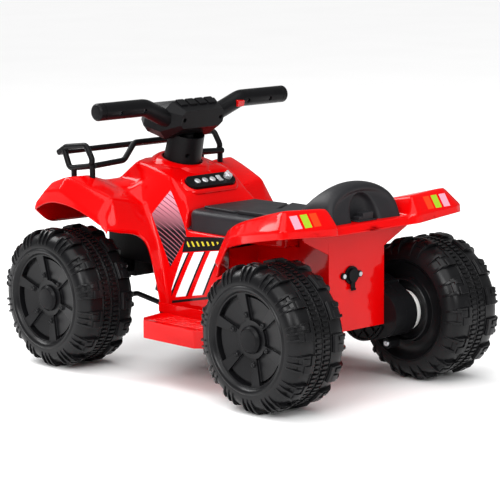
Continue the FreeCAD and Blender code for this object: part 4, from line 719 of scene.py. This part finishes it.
def dash_rim():
    """The raised red rim round the switch panel."""
    bm = bmesh.new()
    last = dash_rim_rows[0][0]
    ring = bmesh.ops.create_circle(bm, cap_ends=False, segments=RING_STEPS, radius=last * MM)["verts"]
    edges = circle_edges(ring)
    moved(bm, ring, spot(0, 0, dash_rim_rows[0][1]))
    for reach, height in dash_rim_rows[1:]:
        grown = bmesh.ops.extrude_edge_only(bm, edges=edges)["geom"]
        edges = only(grown, bmesh.types.BMEdge)
        ring = only(grown, bmesh.types.BMVert)
        bmesh.ops.scale(bm, verts=ring, vec=(reach / last, reach / last, 1))
        for vert in ring:
            vert.co.z = height * MM
        last = reach
    for vert in bm.verts:
        vert.co.y += math.copysign(DASH_HALF * MM, vert.co.y)
    stand = Matrix((DASH_UP, Vector((0, 1, 0)), DASH_OUT)).transposed().to_4x4()
    bmesh.ops.transform(bm, matrix=Matrix.Translation(spot(*DASH_MIDDLE)) @ stand, verts=bm.verts)
    outward(bm)
    return bm


piece("dash_rim", dash_rim(), "chassis", "red_plastic", sharp=60)


# Gearbox back, neck, skirts, webs and ribs

# Gearbox drum: middle along and up, its face, the sections of its rim and flange, the ends of its ribs.
DRUM_X, DRUM_Z, DRUM_FACE = -187.3, 109.9, -56.0
DRUM_RIM_START, DRUM_RIM_STOP, DRUM_RIM_STEPS, DRUM_RIM_TOP = 26, 154, 16, DRUM_FACE + 3.2
DRUM_FLANGE_STEPS = 64
DRUM_RIB_DEPTH, DRUM_RIB_WIDTH, DRUM_RIB_MIDDLE = 3, 2, DRUM_FACE + 1.2
drum_rim = [(44.6, DRUM_FACE), (44.6, DRUM_RIM_TOP), (47.8, DRUM_RIM_TOP), (47.8, DRUM_FACE)]
drum_flange = [(47, -80), (50, -79.4), (50, -76.6), (47, -76)]
drum_ribs = [((-224, 89), (-202, 68)), ((-219, 73), (-200, 90)), ((-200, 90), (-176, 65)),
             ((-202, 67), (-178, 90)), ((-178, 90), (-155, 74)), ((-176, 65), (-154, 88))]
# Ear of the gearbox: its middle, boss, arm and screw.
EAR_X, EAR_Y, EAR_Z = -217, -87, 59
EAR_RADIUS, EAR_DEPTH = 8.4, 20
EAR_ARM_SIZE, EAR_ARM_PLACE, EAR_ARM_TURN = (16, 16, 9), (EAR_X + 7, EAR_Y, EAR_Z + 8), -0.9
SCREW_FOOT, SCREW_HEAD, SCREW_DEPTH, SCREW_Y = 4.6, 3.6, 3, EAR_Y + 11.4
CROSS_SIZE, CROSS_Y = (5, 0.8, 1), EAR_Y + 12.8
# Neck of the steering column: radius and height of its section, place and tilt.
neck_rows = [(31, 8), (31.2, 16.5), (32.6, 17.6), (36, 17), (41, 14), (46, 9.5), (48, 4)]
NECK_PLACE, NECK_TILT = (143, 0, 290), -14.4
SKIRT_SIZE, SKIRT_X, SKIRT_SIDE, SKIRT_Z = (151, 1.4, 14), -7.5, 112.8, 101
# Web under the tail: corners across and up, place along and thickness.
web_outline = [(55, 206), (104, 230), (108, 246), (55, 246)]
WEB_X, WEB_WALL = -230.8, 3
HEAD_RIB_SIZE, HEAD_RIB_X, HEAD_RIB_Z, HEAD_RIB_TILT = (16, 15, 5), 106.5, 394.4, -28
head_rib_sides = (-28.5, -9.5, 9.5, 28.5)


def drum_back():
    """The rim, flange and crossed ribs of the gearbox below the rear box."""
    bm = bmesh.new()
    turned_part(bm, drum_rim, DRUM_RIM_START, DRUM_RIM_STOP, DRUM_RIM_STEPS)
    verts, edges = section_edges(bm, drum_flange, False)
    full_turn(bm, verts + edges, (0, 1, 0), DRUM_FLANGE_STEPS)
    moved(bm, bm.verts, spot(DRUM_X, 0, DRUM_Z))
    for (x1, z1), (x2, z2) in drum_ribs:
        size = (math.hypot(x2 - x1, z2 - z1), DRUM_RIB_DEPTH, DRUM_RIB_WIDTH)
        turn = Matrix.Rotation(math.atan2(z1 - z2, x2 - x1), 4, "Y")
        block(bm, size, ((x1 + x2) / 2, DRUM_RIB_MIDDLE, (z1 + z2) / 2), turn)
    outward(bm)
    return bm


def bracket():
    """The ear that bolts the gearbox to the frame."""
    bm = bmesh.new()
    lying = Matrix.Rotation(math.pi / 2, 4, "X")
    peg(bm, 6, EAR_RADIUS, EAR_RADIUS, EAR_DEPTH, Matrix.Translation(spot(EAR_X, EAR_Y, EAR_Z)) @ lying)
    block(bm, EAR_ARM_SIZE, EAR_ARM_PLACE, Matrix.Rotation(EAR_ARM_TURN, 4, "Y"))
    return bm


def bracket_screw():
    """The cross-head screw of that ear."""
    bm = bmesh.new()
    lying = Matrix.Rotation(-math.pi / 2, 4, "X")
    stand = Matrix.Translation(spot(EAR_X, SCREW_Y, EAR_Z)) @ lying
    peg(bm, 20, SCREW_FOOT, SCREW_HEAD, SCREW_DEPTH, stand)
    for turn in (0, math.pi / 2):
        block(bm, CROSS_SIZE, (EAR_X, CROSS_Y, EAR_Z), Matrix.Rotation(turn, 4, "Y"))
    return bm


def steering_neck():
    """The raised neck of the tank round the steering column."""
    bm = bmesh.new()
    verts = [bm.verts.new(spot(radius, 0, height)) for radius, height in neck_rows]
    edges = [bm.edges.new(pair) for pair in zip(verts, verts[1:])]
    full_turn(bm, verts + edges, (0, 0, 1), RING_STEPS)
    stand = Matrix.Translation(spot(*NECK_PLACE)) @ Matrix.Rotation(math.radians(NECK_TILT), 4, "Y")
    bmesh.ops.transform(bm, matrix=stand, verts=bm.verts)
    outward(bm)
    return bm


def leg_skirts():
    """The feet of the tank sides over the edges of the floor pan."""
    bm = bmesh.new()
    for side in (-1, 1):
        block(bm, SKIRT_SIZE, (SKIRT_X, side * SKIRT_SIDE, SKIRT_Z))
    return bm


def tail_webs():
    """The webs that widen the rear box towards the tail shelf."""
    bm = bmesh.new()
    slab(bm, [spot(WEB_X, y, z) for y, z in web_outline], spot(WEB_WALL, 0, 0))
    mirrored(bm)
    return bm


def head_ribs():
    """Four flat ribs along the top of the handlebar's head."""
    bm = bmesh.new()
    tilt = Matrix.Rotation(math.radians(HEAD_RIB_TILT), 4, "Y")
    for side in head_rib_sides:
        block(bm, HEAD_RIB_SIZE, (HEAD_RIB_X, side, HEAD_RIB_Z), tilt)
    return bm


piece("steering_neck", steering_neck(), "chassis", "red_plastic", sharp=50)
piece("leg_skirts", leg_skirts(), "chassis", "red_plastic", edge=0.5)
piece("tail_webs", tail_webs(), "chassis", "red_plastic", edge=0.8)
piece("head_ribs", head_ribs(), home["handlebar_rear_half"], "black_plastic", edge=1.3)
piece("gearbox_ribs", drum_back(), "chassis", "black_plastic", edge=0.4)
piece("gearbox_ear", bracket(), "chassis", "black_plastic", edge=0.6)
piece("gearbox_ear_screw", bracket_screw(), "chassis", "steel", edge=0.3)


# Pieces that keep the solid's shape

# Rounding of their edges in millimetres.
rounded = {
    "handlebar_rear_half": 0.8, "handlebar_front_half": 0.8, "throttle_button": 0.25, "grip_cap_left": 1.2,
    "grip_cap_right": 1.2, "steering_bush": 0.8, "front_carrier": 1, "floor_pan": 1, "footrest_left": 0.6,
    "footrest_right": 0.6, "rear_box": 1.2, "gearbox_inner": 1, "gearbox_outer": 1, "knuckle_left": 0.8,
    "knuckle_right": 0.8, "charge_socket": 0.5, "charge_cap": 0.6, "dash_panel": 0.25, "dash_button_one": 0.25,
    "dash_button_two": 0.25, "dash_button_three": 0.25, "rocker_switch": 0.6, "key_knob": 0.8,
    "hub_cap_front_left": 0.8, "hub_cap_front_right": 0.8, "hub_cap_rear_left": 0.8, "hub_cap_rear_right": 0.8,
    "headlights": 0.8, "seat": 0.4,
}
# Grooved nodes keep their triangles.
grooved = ("footrest_left", "footrest_right")
# Buttons stop this far short of their wells. The cut there has a reach in metres.
PRESS_GAP = 0.4
CUT_REACH = 1e-7
slot_of = {part["node"]: part["material_slot"] for part in frame["record"]["subparts"]}
press_way = {joint["child"]: Vector(joint["axis"]) for joint in behaviour["joints"]
             if joint["type"] == "slide"}


def freed_end(bm, way):
    """Trims the pressed end of a button, so that it stops short of its well."""
    end = max(bm.verts, key=lambda vert: vert.co.dot(way)).co - way * PRESS_GAP * MM
    cut = bmesh.ops.bisect_plane(bm, geom=bm.verts[:] + bm.edges[:] + bm.faces[:], dist=CUT_REACH,
                                 plane_co=end, plane_no=way, clear_outer=True)
    bmesh.ops.holes_fill(bm, edges=only(cut["geom_cut"], bmesh.types.BMEdge), sides=0)


for node, edge in rounded.items():
    bm = merged(node) if node in grooved else flattened(node)
    if home[node] in press_way:
        freed_end(bm, press_way[home[node]])
    finish = seat_grain if node == "seat" else None
    piece(node + "_moulding", bm, home[node], slot_of[node], [node], finish, edge=edge)

painted = moulded("black_paint", BLACK, INK, 0.3, 420.0, 0.0002, Specular_IOR_Level=0.3)
for node, obj in nodes.items():
    if not obj.hide_render:
        finish = painted if node in ("tie_rod", "steering_rod") else finishes[slot_of[node]]
        obj.data.materials.clear()
        obj.data.materials.append(finish.material)


# Floor, light and camera

# Half width of the floor in metres, its two shades of paper and their noise.
FLOOR_HALF = 60
PAPER_DARK, PAPER_LIGHT, PAPER_CLOUD = linear(246, 246, 246), linear(250, 250, 250), (3.0, 2.0)
WORLD_STRENGTH, SKY_STRENGTH, SKY_ANGLE = 0.32, 2.5, 70
# Lights: place and size in metres, power in watts.
SKY_PLACE = (-0.8, 0.9, 2.6)
soft_boxes = [("left_box", (-1.2, 2.6, 1.6), 1.2, 42), ("rear_soft_box", (-3.0, 0.2, 1.5), 1.2, 24),
              ("front_top_box", (1.9, 0.3, 2.1), 1.5, 60)]
LIGHT_AIM = (0, 0, 0.15)
# The photo's camera: turn, rise and roll in degrees, aim and distance in millimetres, focal length in pixels.
CAMERA_TURN, CAMERA_RISE, CAMERA_ROLL = 226.8357, 9.4585, -0.4129
CAMERA_AIM, CAMERA_DISTANCE = (-10.098, 0, 181.561), 3524.2066
FOCAL_PIXELS, PHOTO_PIXELS, SENSOR_WIDTH = 2373.0938, 500, 36


def studio():
    """The pale floor, the world and the soft lights."""
    bm = bmesh.new()
    bmesh.ops.create_grid(bm, x_segments=1, y_segments=1, size=FLOOR_HALF)
    mesh = bpy.data.meshes.new("studio_floor")
    bm.to_mesh(mesh)
    bm.free()
    floor = bpy.data.objects.new("studio_floor", mesh)
    bpy.context.scene.collection.objects.link(floor)
    paper = Finish("floor_paper", Roughness=0.9)
    paper.feed(Base_Color=paper.place.grain(*PAPER_CLOUD).mix(PAPER_DARK, PAPER_LIGHT))
    mesh.materials.append(paper.material)
    world = bpy.data.worlds.new("studio")
    world.use_nodes = True
    world.node_tree.nodes["Background"].inputs["Color"].default_value = (1, 1, 1, 1)
    world.node_tree.nodes["Background"].inputs["Strength"].default_value = WORLD_STRENGTH
    bpy.context.scene.world = world
    bpy.context.scene.view_settings.view_transform = "Standard"
    sky = bpy.data.lights.new("soft_sky", "SUN")
    sky.energy = SKY_STRENGTH
    sky.angle = math.radians(SKY_ANGLE)
    lamps = [("soft_sky", sky, SKY_PLACE)]
    for name, place, size, power in soft_boxes:
        light = bpy.data.lights.new(name, "AREA")
        light.shape = "SQUARE"
        light.size = size
        light.energy = power
        lamps.append((name, light, place))
    for name, light, place in lamps:
        lamp = bpy.data.objects.new(name, light)
        lamp.location = place
        lamp.rotation_euler = (Vector(LIGHT_AIM) - lamp.location).to_track_quat("-Z", "Y").to_euler()
        bpy.context.scene.collection.objects.link(lamp)


def photo_camera():
    """The camera at the photo's place and angle."""
    turn, rise, roll = (math.radians(angle) for angle in (CAMERA_TURN, CAMERA_RISE, CAMERA_ROLL))
    back = Vector((math.sin(turn) * math.cos(rise), -math.cos(turn) * math.cos(rise), math.sin(rise)))
    camera = bpy.data.cameras.new("photo_camera")
    camera.sensor_width = SENSOR_WIDTH
    camera.lens = SENSOR_WIDTH * FOCAL_PIXELS / PHOTO_PIXELS
    view = bpy.data.objects.new("photo_camera", camera)
    view.location = spot(*CAMERA_AIM) + back * (CAMERA_DISTANCE * MM)
    aim = (-back).to_track_quat("-Z", "Y").to_matrix()
    view.rotation_euler = (aim @ Matrix.Rotation(roll, 3, "Z")).to_euler()
    bpy.context.scene.collection.objects.link(view)
    bpy.context.scene.camera = view


studio()
photo_camera()
